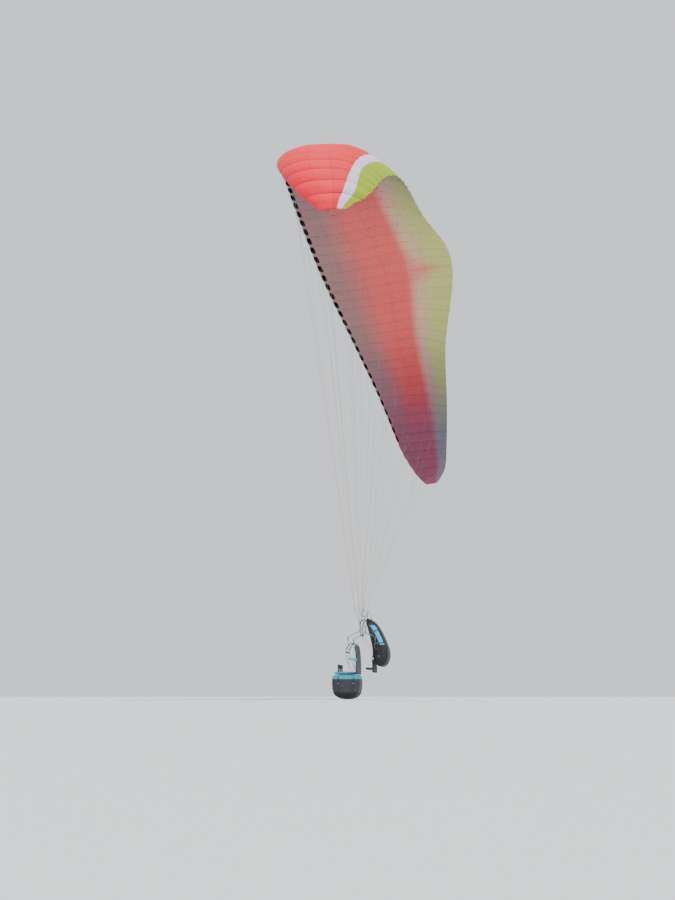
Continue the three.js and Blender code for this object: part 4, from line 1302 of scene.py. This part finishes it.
def clip_buckle(shape, centre, along, out, wide=WEB):
    """Side release buckle: rounded shell, a waist, and the two side tongues."""
    centre, along, out = vectors(centre, along, out)
    side = np.cross(out, along)
    widest = wide / 2 + 3
    rings = []
    for s, share, t in CLIP_STATIONS:
        w = widest * share
        outline = [(-w, -t * 0.6), (-w + 2, -t), (w - 2, -t), (w, -t * 0.6),
                   (w, t * 0.6), (w - 2, t), (-w + 2, t), (-w, t * 0.6)]
        rings.append([centre + along * s + side * u + out * v for u, v in outline])
    shape.loft(rings)
    for turn in (-1, 1):
        spots = [centre + along * s + side * (turn * (widest + reach))
                 for s, reach in ((-10, 0.4), (-4, 2.2), (4, 0.6))]
        shape.sweep(spots, flat_section(5, 3.4), out)


# Radius and height of the brake guide's ring
GUIDE_PROFILE = [(6.2, 2.2), (7.4, 0.6), (9.8, 0.6), (11, 2), (11, 6), (9.8, 7.4), (7.4, 7.4), (6.2, 5.8)]


def risers():
    """Three webs a side from the main carabiner to the links, and the brake guide on its tape."""
    runs = []
    foot = [(4.4, 58), (4.2, 17), *arc(ROD_REACH, 20, -200, 13), (-4.2, 17), (-4.4, 58)]
    guide_height = PULLEY_Z + 4
    tape_start = (PULLEY_Z / RISER_TOPS["c"][1] * RISER_TOPS["c"][0], guide_height)
    tape = lap(tape_start, (PULLEY_X, guide_height), 12.2, 26, 0.9)
    for name, side in SIDES:
        y = side * SIDE_Y
        webs, guide = Shape(), Shape()
        for x, z in RISER_TOPS.values():
            start = (x * 0.05, 16.0)
            webs.sweep(upright(lap(start, (x, z), LINK_ROD + STRAP_THICK / 2 + 0.2, 78), y), WEB_SECTION)
            runs += strap_stitches((x, z), start, y, [46])
        webs.sweep(upright(foot, y), WEB_SECTION)
        runs += cross_stitch((0, y, 38), (0, 0, 1), (1, 0, 0), 30, 6.0)
        webs.sweep(upright(tape, y), flat_section(8, 1.4))
        webs.piece(f"riser_straps_{name}", "wing", BLACK_STRAP, "webbing", [f"riser_{name}"])
        guide.loft([[(PULLEY_X + r * u, y + r * v, PULLEY_Z + h) for r, h in GUIDE_PROFILE]
                    for u, v in round_section(1, 22)], closed=True)
        guide.piece(f"brake_guide_{name}", "wing", ALLOY, "steel")
    sewn("riser_stitching", "wing", runs, "webbing")


# Across and above its top
HANDLE_LOOP = [(-10, 0), (10, 0), (36, -27), (44, -78), (30, -111), (12, -118.5),
               (-12, -118.5), (-30, -111), (-44, -78), (-36, -27)]


def brake_handles():
    """Webbing loop with a padded grip round its lower half, hung on a swivel."""
    runs = []
    top = HANDLE_TOP - 3.5
    for name, side in SIDES:
        y = side * SIDE_Y
        loop = [(PULLEY_X + u, y, top + w) for u, w in HANDLE_LOOP]
        web = Shape().sweep(smooth_path(loop, 5, closed=True), flat_section(20, 3.0), closed=True)
        web.piece(f"handle_loop_{name}", "wing", BLACK_STRAP, "grip", [f"brake_handle_{name}"])
        held = smooth_path(loop[3:9], 7)
        count = len(held)
        swell = [0.55 + 0.45 * min(1.0, 6.0 * min(i, count - 1 - i) / count) for i in range(count)]
        grip = Shape().sweep(held, round_section(12.5, 14, 6.2 / 12.5), sizes=swell)
        grip.piece(f"handle_grip_{name}", "wing", PLAIN_PACK, "grip", smooth=60)
        swivel = Shape()
        swivel.stand(PULLEY_X, y, round_section(1, 14), [
            (top + h, r) for h, r in ((1.4, 3.2), (2.2, 4.4), (4.6, 4.4), (5.4, 3.4))])
        swivel.piece(f"handle_swivel_{name}", "wing", STEEL, "steel")
        runs += [[(PULLEY_X - 22, y + across, top - 9), (PULLEY_X - 12, y + across, top - 1.1)]
                 for across in (-7.2, 7.2)]
    sewn("handle_stitching", "wing", runs, "webbing")


def spreader_bars():
    """Each side: one endless black strap over and under the main carabiner's rod, in padded teal sleeves."""
    apex = np.array([0, -CARABINER_DROP], float)
    arms, roots, halves, gap = [], [], [], 1.4
    for near in vectors(SPREADER_REAR, SPREADER_FRONT):
        along = unit(near - apex)
        up = np.array([-along[1], along[0]])
        up *= np.sign(up[1])
        neck, root = near - along * ROD_REACH * 2.2, apex + along * ROD_REACH * 2.4
        turn = half_turn(near, ROD_REACH, along, up, 9)
        halves.append([neck - up * gap, *turn, neck + up * gap, root + up * gap])
        roots.append(root - up * gap)
        arms.append((along, up, np.linalg.norm(near - apex)))
    over, under = (apex + np.array(arc(ROD_REACH, *bend)) for bend in ((128, 52, 7), (-60, -120, 5)))
    loop = [*halves[0], *over, *halves[1][::-1], roots[1], *under, roots[0]]
    runs = []
    for name, side in SIDES:
        y = side * SIDE_Y
        webs, sleeves = Shape(), Shape()
        webs.sweep(upright(loop, y), WEB_SECTION, closed=True)
        webs.piece(f"spreader_web_{name}", "spreaders", BLACK_STRAP, "webbing", [f"spreader_{name}"])
        for along, up, length in arms:
            spots = [apex + along * s for s in np.linspace(38, length - 40, 12)]
            sleeves.sweep(upright(spots, y), flat_section(WEB + 3, 7.6, 0.9), sizes=[0.9, *[1.0] * 10, 0.9])
            lanes = np.linspace(44, length - 46, 12)
            runs += [upright([apex + along * s + up * face for s in lanes], y + edge)
                     for edge in (-10.5, 10.5) for face in (-4.4, 4.4)]
            for x, z in (apex + along * end + up * 4.6 for end in (41, length - 43)):
                runs.append([(x, y - 10, z), (x, y + 10, z)])
        sleeves.piece(f"spreader_sleeves_{name}", "spreaders", TEAL_PACK, "teal", smooth=50)
    sewn("spreader_stitching", "spreaders", runs, "teal", DARK_THREAD)


# Run: where the strap bends between carabiner and hip. Tab: from the strap to the bag or the back pad.
MAIN_STRAPS = {
    "pilot": {
        "finish": BLACK_STRAP, "slot": "webbing", "hang": SPREADER_REAR, "pin": PILOT_HIP,
        "run": [(-280, 242, -420)],
        "tab": [(-279, 239, -420), (-300, 216, -425), (-350, 210, -432), (-368, 210.5, -434)],
    },
    "passenger": {
        "finish": TEAL_STRAP, "slot": "teal", "hang": SPREADER_FRONT, "pin": PASSENGER_HIP,
        "run": [(254, 246, -560), (238, 236, -760)],
        "tab": [(250, 241, -600), (190, 212, -610), (130, 184, -620), (104, 180.8, -624), (94, 181, -625)],
    },
}
# Radius of the hip bolt's pin, outer head and inner head, and where along y each one's rings are
HIP_BOLT = [(HIP_PIN_R, (185.5, 186.5, 244, 245)), (8.5, (245.2, 246, 248.6, 249.6)),
            (8.5, (183, 183.6, 185.4, 186))]


def main_straps(who, surface):
    """Webbing from the carabiner to the hip on each side, with sewn loops, and its tab to the back."""
    made, body = MAIN_STRAPS[who], f"{who}_harness"
    hang_x, hang_z = made["hang"]
    pin_x, pin_z = made["pin"]
    bar = (hang_x, hang_z - CARABINER_DROP)
    run = np.array(made["run"], float)
    bends = run[:, (0, 2)]
    top = lap(bends[0], bar, ROD_REACH, 96)[:0:-1]
    low = lap(bends[-1], (pin_x, pin_z), HIP_PIN_R + 1.6, 44)[1:]
    across = [SIDE_Y] * len(top) + list(run[:, 1]) + [BAG_HALF + 14] * len(low)
    strap = [(x, y, z) for (x, z), y in zip([*top, *bends, *low], across)]
    stitches = []
    for name, side in SIDES:
        webs, metal = Shape(), Shape()
        webs.sweep(on_side(strap, side), WEB_SECTION)
        tab = np.array(on_side(made["tab"], side), float)
        tab[-2:] = laid(surface, tab[-2:], STRAP_THICK / 2 + 0.2)[0]
        webs.sweep(smooth_path(tab, 5), flat_section(38, STRAP_THICK), (0, 0, 1))
        webs.piece(f"{who}_main_web_{name}", body, made["finish"], made["slot"], [f"{who}_strap_{name}"])
        stitches += strap_stitches(bar, bends[0], side * SIDE_Y, (36, 74), 30)
        high, first = np.array([bar[0], side * SIDE_Y, bar[1]]), run[0] * (1, side, 1)
        ladder_buckle(metal, high + (first - high) * 0.80, first - high, (0, 1, 0))
        for radius, ends in HIP_BOLT:
            metal.loft([[(pin_x + u * k, side * y, pin_z + v * k) for u, v in round_section(radius, 12)]
                        for y, k in zip(ends, (0.93, 1, 1, 0.93))])
        metal.piece(f"{who}_hip_bolt_{name}", body, STEEL, "steel")
    sewn(f"{who}_main_stitching", body, stitches, made["slot"])


# Pad end and buckle: how many points of the run come before them
SHOULDER_STRAPS = {
    "pilot": {
        "run": [(-157, 110, 155.4), (-97, 110, 146), (-50, 114, 152), (10, 122, 120), (34, 126, 0),
                (20, 130, -140), (-70, 156, -290), (-215, 190, -470), (-238, 197.5, -560),
                (-236.5, 210, -566), (-235, 222, -573), (-233.5, 228, -582)],
        "pad_end": 5.2, "buckle": 6.5, "pad_finish": PLAIN_PACK,
    },
    "passenger": {
        "run": [(125, 100, -322), (138, 100, -318), (180, 104, -300), (246, 110, -308), (304, 124, -390),
                (322, 170, -466), (307, 207, -552), (280, 207, -650), (240, 203.5, -742), (236, 216, -757),
                (229, 228, -773), (210, 231, -798)],
        "pad_end": 4.6, "buckle": 6.6, "pad_finish": GREY_PACK,
    },
}
CHEST_POINT = 5
SHOULDER_STEPS = 8
WEB_ON_PAD = 6.4


def shoulder_straps(who):
    """Padded over the shoulders, plain webbing below with its buckle, and the chest strap with a clip."""
    made, body = SHOULDER_STRAPS[who], f"{who}_harness"
    end, spot = (int(made[key] * SHOULDER_STEPS) for key in ("pad_end", "buckle"))
    pads, webs, metal, plastic = Shape(), Shape(), Shape(), Shape()
    stitches = []
    for _, side in SIDES:
        line = smooth_path(on_side(made["run"], side), SHOULDER_STEPS)
        ahead = np.gradient(line, axis=0)
        inward = np.array([unit(np.cross(unit(way), (0, 1.0, 0))) for way in ahead])
        pads.sweep(line[:end], flat_section(46, 8.5, 1.2), sizes=[0.86, *[1.0] * (end - 2), 0.86])
        over = line.copy()
        over[:end - 1] -= inward[:end - 1] * WEB_ON_PAD
        over[end - 1] -= inward[end - 1] * (WEB_ON_PAD / 2)
        webs.sweep(over, LIGHT_WEB_SECTION)
        rows = slice(1, end - 1)
        stitches += [line[rows] - inward[rows] * away + (0, edge * aside, 0)
                     for edge in (-1, 1) for away, aside in ((5.0, 19.5), (7.8, 9.5))]
        ladder_buckle(metal, line[spot], ahead[spot], (0, 1, 0))
    x, y, z = made["run"][CHEST_POINT]
    chest = [(x + 1, y, z), (x + 5, y * 0.5, z - 3), (x + 6, 0, z - 4)]
    webs.sweep(smooth_path(on_side(chest, -1) + chest[1::-1]), LIGHT_WEB_SECTION, (0, 0, 1))
    clip_buckle(plastic, (x + 7, 0, z - 4), (0, 1, 0), (1, 0, 0))
    pads.piece(f"{who}_shoulder_pads", body, made["pad_finish"], "webbing", [f"{who}_shoulder_straps"], 50)
    webs.piece(f"{who}_shoulder_webs", body, BLACK_STRAP, "webbing")
    metal.piece(f"{who}_shoulder_buckles", body, STEEL, "steel")
    plastic.piece(f"{who}_chest_clip", body, MOULDED, "grip")
    sewn(f"{who}_shoulder_stitching", body, stitches, "webbing", DARK_THREAD)


SEATS = {
    "pilot": {"pin": PILOT_HIP, "length": 280, "turned": True, "top": 15, "finish": PLAIN_PACK,
              "slot": "harness", "pad_finish": PLAIN_PACK},
    "passenger": {"pin": PASSENGER_HIP, "length": 420, "turned": False, "top": 6, "finish": TEAL_PACK,
                  "slot": "teal", "pad_finish": GREY_PACK},
}
# Leg loop across the seat and above its top; strap round the hip bolt on a level seat
LEG_LOOP = [(12, 4), (22, 50), (38, 92), (70, 132), (116, 132), (146, 92), (150, 44), (150, 1)]
HINGE_STRAP = [(66, 172, -15), (40, 186, -12), (20, 196, -8), (6, 197, -5.9),
               *upright(arc(HIP_PIN_R + 2, -70, -290, 11), 197),
               (6, 197, 5.9), (22, 195, 0), (42, 186, -7), (66, 172, -11.5)]
LEG_PAD = slice(9, 34)


def on_seat(who, points):
    """Points drawn on a level seat with its hinge at the origin, brought to where the seat is."""
    px, pz = SEATS[who]["pin"]
    placed = [(z, y, -x) if SEATS[who]["turned"] else (x, y, z) for x, y, z in points]
    return [(px + x, y, pz + z) for x, y, z in placed]


def seat_straps(who):
    """Leg loops with their pads and clips, the bar between them, and the loops round the hip bolts."""
    seat, body = SEATS[who], f"{who}_seat"
    x, top = seat["length"] - 90, seat["top"]
    along_seat, off_seat = ((0, 0, 1), (1.0, 0, 0)) if seat["turned"] else ((1, 0, 0), (0, 0, 1.0))
    webs, pads, plastic, hinge = Shape(), Shape(), Shape(), Shape()
    for _, side in SIDES:
        path = smooth_path(on_seat(who, [(x, side * y, top + h) for y, h in LEG_LOOP]))
        webs.sweep(path, WEB_SECTION, along_seat)
        pads.sweep(path[LEG_PAD], flat_section(36, 8.0, 0.8), along_seat, sizes=[0.88, *[1.0] * 23, 0.88])
        clip_buckle(plastic, on_seat(who, [(x, side * 150, top + 34)])[0], off_seat, (0, side, 0), 22)
        hinge.sweep(on_seat(who, on_side(HINGE_STRAP, side)), flat_section(14, 2.2))
    foot = on_seat(who, [(x, -30, top + 3), (x, 0, top + 5), (x, 30, top + 3)])
    webs.sweep(foot, flat_section(WEB, 4.5), along_seat)
    webs.piece(f"{who}_leg_webs", body, BLACK_STRAP, "webbing", [f"{who}_leg_straps"])
    pads.piece(f"{who}_leg_pads", body, seat["pad_finish"], "webbing", smooth=50)
    plastic.piece(f"{who}_leg_clips", body, MOULDED, "grip")
    hinge.piece(f"{who}_seat_hinges", body, BLACK_STRAP, "webbing")


# ---------------------------------------------------------------- padded and air-filled pieces

SIM_FRAMES = 20
CLOTH_SETTINGS = {
    "use_pressure": True, "quality": 4, "mass": 0.3, "tension_stiffness": 12, "compression_stiffness": 12,
    "bending_stiffness": 0.4, "shrink_min": -0.035, "air_damping": 3,
}
SOFT_RINGS = (0, 0.35, 0.7, 0.8, 0.88, 0.95, 0.985, 1)
CORNER_DEPTH = 8.0


def rounded(outline):
    """The outline with its corners drawn as curves, none moved in by more than the corner depth."""
    spots = np.array(outline, float)
    drawn = []
    for before, corner, after in zip(np.roll(spots, 1, 0), spots, np.roll(spots, -1, 0)):
        back, ahead = unit(before - corner), unit(after - corner)
        bend = (math.pi - math.acos(np.clip(np.dot(back, ahead), -1, 1))) / 2
        shorter = min(np.linalg.norm(before - corner), np.linalg.norm(after - corner))
        trim = min(0.45 * shorter, 2 * CORNER_DEPTH / max(math.sin(bend), 0.01))
        drawn += [corner + back * trim * (1 - s) ** 2 + ahead * trim * s ** 2
                  for s in (0, 0.25, 0.5, 0.75, 1)]
    return np.array(drawn)


def soft_outline(outline, half, edge=0.70, squeeze=0.20):
    """Side outline carried across y, drawn in towards its middle near both sides."""
    flat, middle = rounded(outline), np.mean(outline, 0)
    rings = []
    for s in (*(-s for s in SOFT_RINGS[:0:-1]), *SOFT_RINGS):
        k = 1 - squeeze * (max(0.0, abs(s) - edge) / (1 - edge)) ** 1.6
        rings.append([(x, s * half, z) for x, z in middle + (flat - middle) * k])
    shape = Shape()
    shape.loft(rings)
    return shape


def places_of(mesh):
    places = np.zeros(len(mesh.vertices) * 3)
    mesh.vertices.foreach_get("co", places)
    return places.reshape(-1, 3)


def blown_up(mesh, pressure, cap, firm):
    """Cloth simulation of a closed mesh under its own pressure; no point moves further than its cap."""
    scene = bpy.context.scene
    carrier = in_scene("carrier", mesh)
    cloth = carrier.modifiers.new("cloth", "CLOTH")
    for name, value in CLOTH_SETTINGS.items():
        setattr(cloth.settings, name, value)
    cloth.settings.uniform_pressure_force = pressure
    cloth.settings.effector_weights.gravity = 0
    cloth.point_cache.frame_start, cloth.point_cache.frame_end = 1, SIM_FRAMES
    for number in range(1, SIM_FRAMES + 1):
        scene.frame_set(number)
    after = carrier.evaluated_get(bpy.context.evaluated_depsgraph_get()).to_mesh()
    start = places_of(mesh)
    move = np.nan_to_num(places_of(after) - start)
    length = np.maximum(np.linalg.norm(move, axis=1), 1e-9)
    limit = cap * (firm(start) if firm else 1.0)
    start += move * np.minimum(1, limit / length)[:, None]
    mesh.vertices.foreach_set("co", start.ravel())
    scene.frame_set(1)
    bpy.data.objects.remove(carrier)
    return mesh


def gap_to_line(spots, line):
    """Distance of each flat spot to the nearest stretch of an open line."""
    gaps = []
    for a, b in zip(line, line[1:]):
        share = np.clip((spots - a) @ (b - a) / ((b - a) @ (b - a)), 0, 1)
        gaps.append(np.linalg.norm(spots - a - share[:, None] * (b - a), axis=1))
    return np.min(gaps, axis=0)


def with_modifier(mesh, kind, **settings):
    """Plain mesh of what one modifier makes of a mesh."""
    carrier = bpy.data.objects.new("carrier", mesh)
    modifier = carrier.modifiers.new("step", kind)
    for name, value in settings.items():
        setattr(modifier, name, value)
    return made_real(carrier, mesh)


def plump(name, body, shape, finish, slot, replaces, *, voxel, pressure, cap,
          firm=None, half=None, rear=None):
    """Soft piece: evenly remeshed, swollen by a simulation, smoothed once, with the places its panels follow.

    Its surface is returned, to lay trims on.
    """
    source = mesh_of(name, shape.points, shape.faces)
    face_out(source)
    mesh = with_modifier(source, "REMESH", mode="VOXEL", voxel_size=voxel)
    mesh = blown_up(mesh, pressure, cap, firm)
    mesh = with_modifier(mesh, "SUBSURF", levels=1, render_levels=1)
    places = places_of(mesh) * 1000
    if half:
        point_values(mesh, across=places[:, 1] / half)
    if rear:
        gap = gap_to_line(places[:, (0, 2)] + (0, HANG_DROP), np.array(rear, float))
        point_values(mesh, rear_gap=gap * 0.001)
    made = finished(mesh, name, body, finish, slot, replaces, 180)
    return BVHTree.FromPolygons([v.co for v in mesh.vertices], [p.vertices for p in mesh.polygons])


def laid(surface, points, lift):
    """Points moved to the nearest place on the surface and lifted off it, in the part's millimetres."""
    out, normals = [], []
    for place in to_metres(points):
        found, normal, _, _ = surface.find_nearest(Vector(place))
        spot = found + normal * (lift * 0.001)
        out.append((spot.x * 1000, spot.y * 1000, spot.z * 1000 + HANG_DROP))
        normals.append(np.array(normal))
    return np.array(out), normals


def side_rings(outline, scale, y):
    """Smooth rings round the outline at this scale, one on each side."""
    middle = np.mean(outline, 0)
    flat = middle + (np.array(outline, float) - middle) * scale
    return [smooth_path(upright(flat, side * y), 5, closed=True) for side in (-1, 1)]


def piping(name, body, finish, slot, surface, rings, lift, radius):
    """Piping laid on a soft piece along closed rings."""
    shape = Shape()
    for ring in rings:
        shape.sweep(laid(surface, ring, lift)[0], round_section(radius, 8), closed=True)
    shape.piece(name, body, finish, slot, smooth=60)


def seam_on(surface, points, closed=False):
    seam = laid(surface, points, 0.5)[0]
    return np.vstack([seam, seam[:1]]) if closed else seam


def quilted(name, body, stitches, slot):
    sewn(name, body, stitches, slot, DARK_THREAD, pitch=5.0, length=3.4, size=0.5)


def lay_strap(shape, surface, points, width, thick, lift):
    """Flat strap that follows a surface, each cross-section lying on it."""
    spots, normals = laid(surface, points, lift)
    section = flat_section(width, thick)
    rings, cloth = [], []
    for i, (spot, normal, way_gone) in enumerate(zip(spots, normals, travelled(spots))):
        along = unit(spots[min(i + 1, len(spots) - 1)] - spots[max(i - 1, 0)])
        side = unit(np.cross(normal, along))
        rings.append([spot + side * u + normal * v for u, v in section])
        cloth += [(u * 0.001, way_gone * 0.001) for u, _ in section]
    shape.loft(rings, cloth=cloth)


def bag_trims(prefix, body, slot, surface, outline, half, seams, side_straps, buckle_at, straps, metal):
    """Piping round both sides of a bag, and its side straps with their buckles; its seams are returned."""
    for (x0, z0), (x1, z1) in side_straps:
        way = (x1 - x0, 0, z1 - z0)
        for side in (-1, 1):
            y = side * (half + 4)
            spots = np.linspace((x0, y, z0), (x1, y, z1), 2 * buckle_at + 4)
            lay_strap(straps, surface, spots, width=20, thick=2.0, lift=1.6)
            middle, out = laid(surface, [spots[buckle_at]], 4.6)
            ladder_buckle(metal, middle[0], way, np.cross(out[0], way), wide=20, long=16)
    rings = side_rings(outline, 0.985, half * 0.86)
    piping(f"{prefix}_piping", body, BLACK_STRAP, slot, surface, rings, 0.4, 2.6)
    straps.piece(f"{prefix}_straps", body, BLACK_STRAP, "webbing")
    metal.piece(f"{prefix}_buckles", body, STEEL, "steel")
    return [seam_on(surface, ring, True) for share in seams
            for ring in side_rings(outline, 0.985, half * share)]


ZIP_RUN = [(-280, 0, 60), (-340, 0, -20), (-400, 0, -120), (-455, 0, -230), (-500, 0, -360), (-520, 0, -480),
           (-515, 0, -590), (-470, 0, -690)]
CARRY_LOOP = [(-114, -26, 100), (-101, -26, 150), (-106, -24, 176), (-112, 0, 186), (-106, 24, 176),
              (-101, 26, 150), (-114, 26, 100)]


def pilot_bag():
    """Pilot's back and storage bag with piping, rear zip, side compression straps and a carry loop."""
    body, half = "pilot_harness", 199
    surface = plump("pilot_bag", body, soft_outline(PILOT_BAG, half), PILOT_PACK, "harness", ["pilot_back"],
                    voxel=0.014, pressure=5.0, cap=0.015, half=half, rear=PILOT_BAG[8:])
    straps, metal = Shape(), Shape()
    zip_line = smooth_path(ZIP_RUN, 8)
    lay_strap(straps, surface, zip_line, width=26, thick=1.4, lift=0.9)
    straps.sweep(smooth_path(CARRY_LOOP, 7), flat_section(20, 3.0), (1, 0, 0))
    pull = laid(surface, [zip_line[1]], 4.0)[0][0]
    metal.loft([[pull + (u, v, -h) for u, v in ((-1.4, -4), (1.4, -4), (1.4, 4), (-1.4, 4))]
                for h in (0, 3, 20, 24)])
    seams = bag_trims("pilot_bag", body, "harness", surface, PILOT_BAG, half, [0.80], [
        ((-180, -120), (-340, -60)), ((-240, -330), (-475, -300)), ((-262, -560), (-505, -560)),
    ], 5, straps, metal)
    teeth = [laid(surface, zip_line + (0, turn, 0), 2.2)[0] for turn in (-1.4, 1.4)]
    sewn("pilot_bag_zip_teeth", body, teeth, "grip", MOULDED, pitch=2.6, length=1.9, size=1.0)
    quilted("pilot_bag_stitching", body, seams, "harness")
    return surface


def airbag():
    """Passenger's air-filled seat protector: piping, side seams, straps to the seat and a front handle."""
    body, half = "passenger_harness", 203

    def firm(places):
        """Free to swell below, held flat under the seat."""
        return np.clip((-0.900 - HANG_DROP * 0.001 - places[:, 2]) / 0.10, 0.12, 1.0)

    surface = plump("passenger_airbag_cover", body, soft_outline(PASSENGER_BAG, half, squeeze=0.16),
                    AIRBAG_PACK, "grey", ["passenger_airbag"],
                    voxel=0.014, pressure=5.0, cap=0.018, firm=firm, half=half)
    straps = Shape()
    handle = [(598, -70, -985), (616, -60, -985), (624, 0, -985), (616, 60, -985), (598, 70, -985)]
    straps.sweep(smooth_path(handle, 7), flat_section(24, 3.4), (0, 0, 1))
    seams = bag_trims("airbag", body, "grey", surface, PASSENGER_BAG, half, [0.80, 0.83], [
        ((150, -925), (180, -1255)), ((470, -925), (440, -1255)),
    ], 6, straps, Shape())
    quilted("airbag_stitching", body, seams, "grey")


def passenger_back_pad():
    """Passenger's back pad, quilted in squares, with teal piping."""
    body, half = "passenger_harness", 186
    surface = plump("passenger_back_pad", body, soft_outline(PASSENGER_BACK, half, 0.75, 0.12), GREY_PACK,
                    "grey", ["passenger_back"], voxel=0.009, pressure=4.0, cap=0.006, half=half)
    rings = side_rings(PASSENGER_BACK, 0.99, half * 0.93)
    piping("passenger_back_piping", body, TEAL_STRAP, "teal", surface, rings, 0.3, 2.2)
    lanes = [np.linspace((126, y, -860), (126, y, -370), 30) for y in (-70, 70)]
    lanes += [np.linspace((128, -165, z), (128, 165, z), 24) for z in (-760, -640, -520, -410)]
    quilted("passenger_back_stitching", body, [seam_on(surface, lane) for lane in lanes], "grey")
    return surface


def seat_pad(who):
    """Seat board in its cover, a cushion on top, with piping round the edge and quilted rows."""
    seat, body = SEATS[who], f"{who}_seat"
    length, top, slot = seat["length"], seat["top"], seat["slot"]
    front, low = length - 20, top - 33
    outline = [(17, top - 1), (front, top - 1), (length - 1, top - 16), (front, low), (17, low)]
    shape = soft_outline(outline, 176, 0.84, 0.12)
    shape.points = on_seat(who, shape.points)
    surface = plump(f"{who}_seat_pad", body, shape, seat["finish"], slot, [body],
                    voxel=0.008, pressure=4.0, cap=0.005)
    rings = [smooth_path(on_seat(who, upright(outline, side * 168)), 16, True) for side in (-1, 1)]
    piping(f"{who}_seat_piping", body, BLACK_STRAP, slot, surface, rings, 0.9, 2.0)
    rows = [[(length * share, y, top + 4) for y in np.linspace(-150, 150, 24)] for share in (0.25, 0.5, 0.75)]
    quilted(f"{who}_seat_stitching", body, [seam_on(surface, on_seat(who, row)) for row in rows], slot)


for side_name, side_sign in SIDES:
    for row_name in ROW_LOOKS:
        line_row(side_name, side_sign, row_name)
        screw_link(side_name, row_name, side_sign)
    brake_set(side_name, side_sign)
    carabiner(side_name, "main", 0, 0, side_sign, "spreaders")
    carabiner(side_name, "pilot", *SPREADER_REAR, side_sign, "pilot_harness")
    carabiner(side_name, "passenger", *SPREADER_FRONT, side_sign, "passenger_harness")
tabs()
risers()
brake_handles()
spreader_bars()
for wearer, back_surface in (("pilot", pilot_bag()), ("passenger", passenger_back_pad())):
    main_straps(wearer, back_surface)
    shoulder_straps(wearer)
    seat_straps(wearer)
    seat_pad(wearer)
airbag()

# ---------------------------------------------------------------- stage

FLOOR_Z, FLOOR_REACH = -10.01, 160
# Name, strength, angle and aim
SUNS = [("key", 4.4, 25, (0.45, -0.75, -0.9)), ("fill", 3.2, 60, (-0.45, -0.22, 0.60))]


def stage():
    """Pale floor under the harnesses, an even sky, a soft sun and a fill from below."""
    mesh = bpy.data.meshes.new("studio_floor")
    corners = [(u * FLOOR_REACH, v * FLOOR_REACH, FLOOR_Z) for u, v in ((-1, -1), (1, -1), (1, 1), (-1, 1))]
    mesh.from_pydata(corners, [], [(0, 1, 2, 3)])
    mesh.materials.append(finish_of("pale studio floor", FLOOR_PALE, 0.8))
    in_scene("studio_floor", mesh)
    world = bpy.data.worlds.new("studio")
    world.use_nodes = True
    sky = world.node_tree.nodes["Background"].inputs
    sky[0].default_value, sky[1].default_value = SKY_LIGHT, 1.05
    bpy.context.scene.world = world
    for name, strength, angle, aim in SUNS:
        data = bpy.data.lights.new(name, "SUN")
        data.energy = strength
        data.angle = math.radians(angle)
        aimed(name, data, aim)


stage()
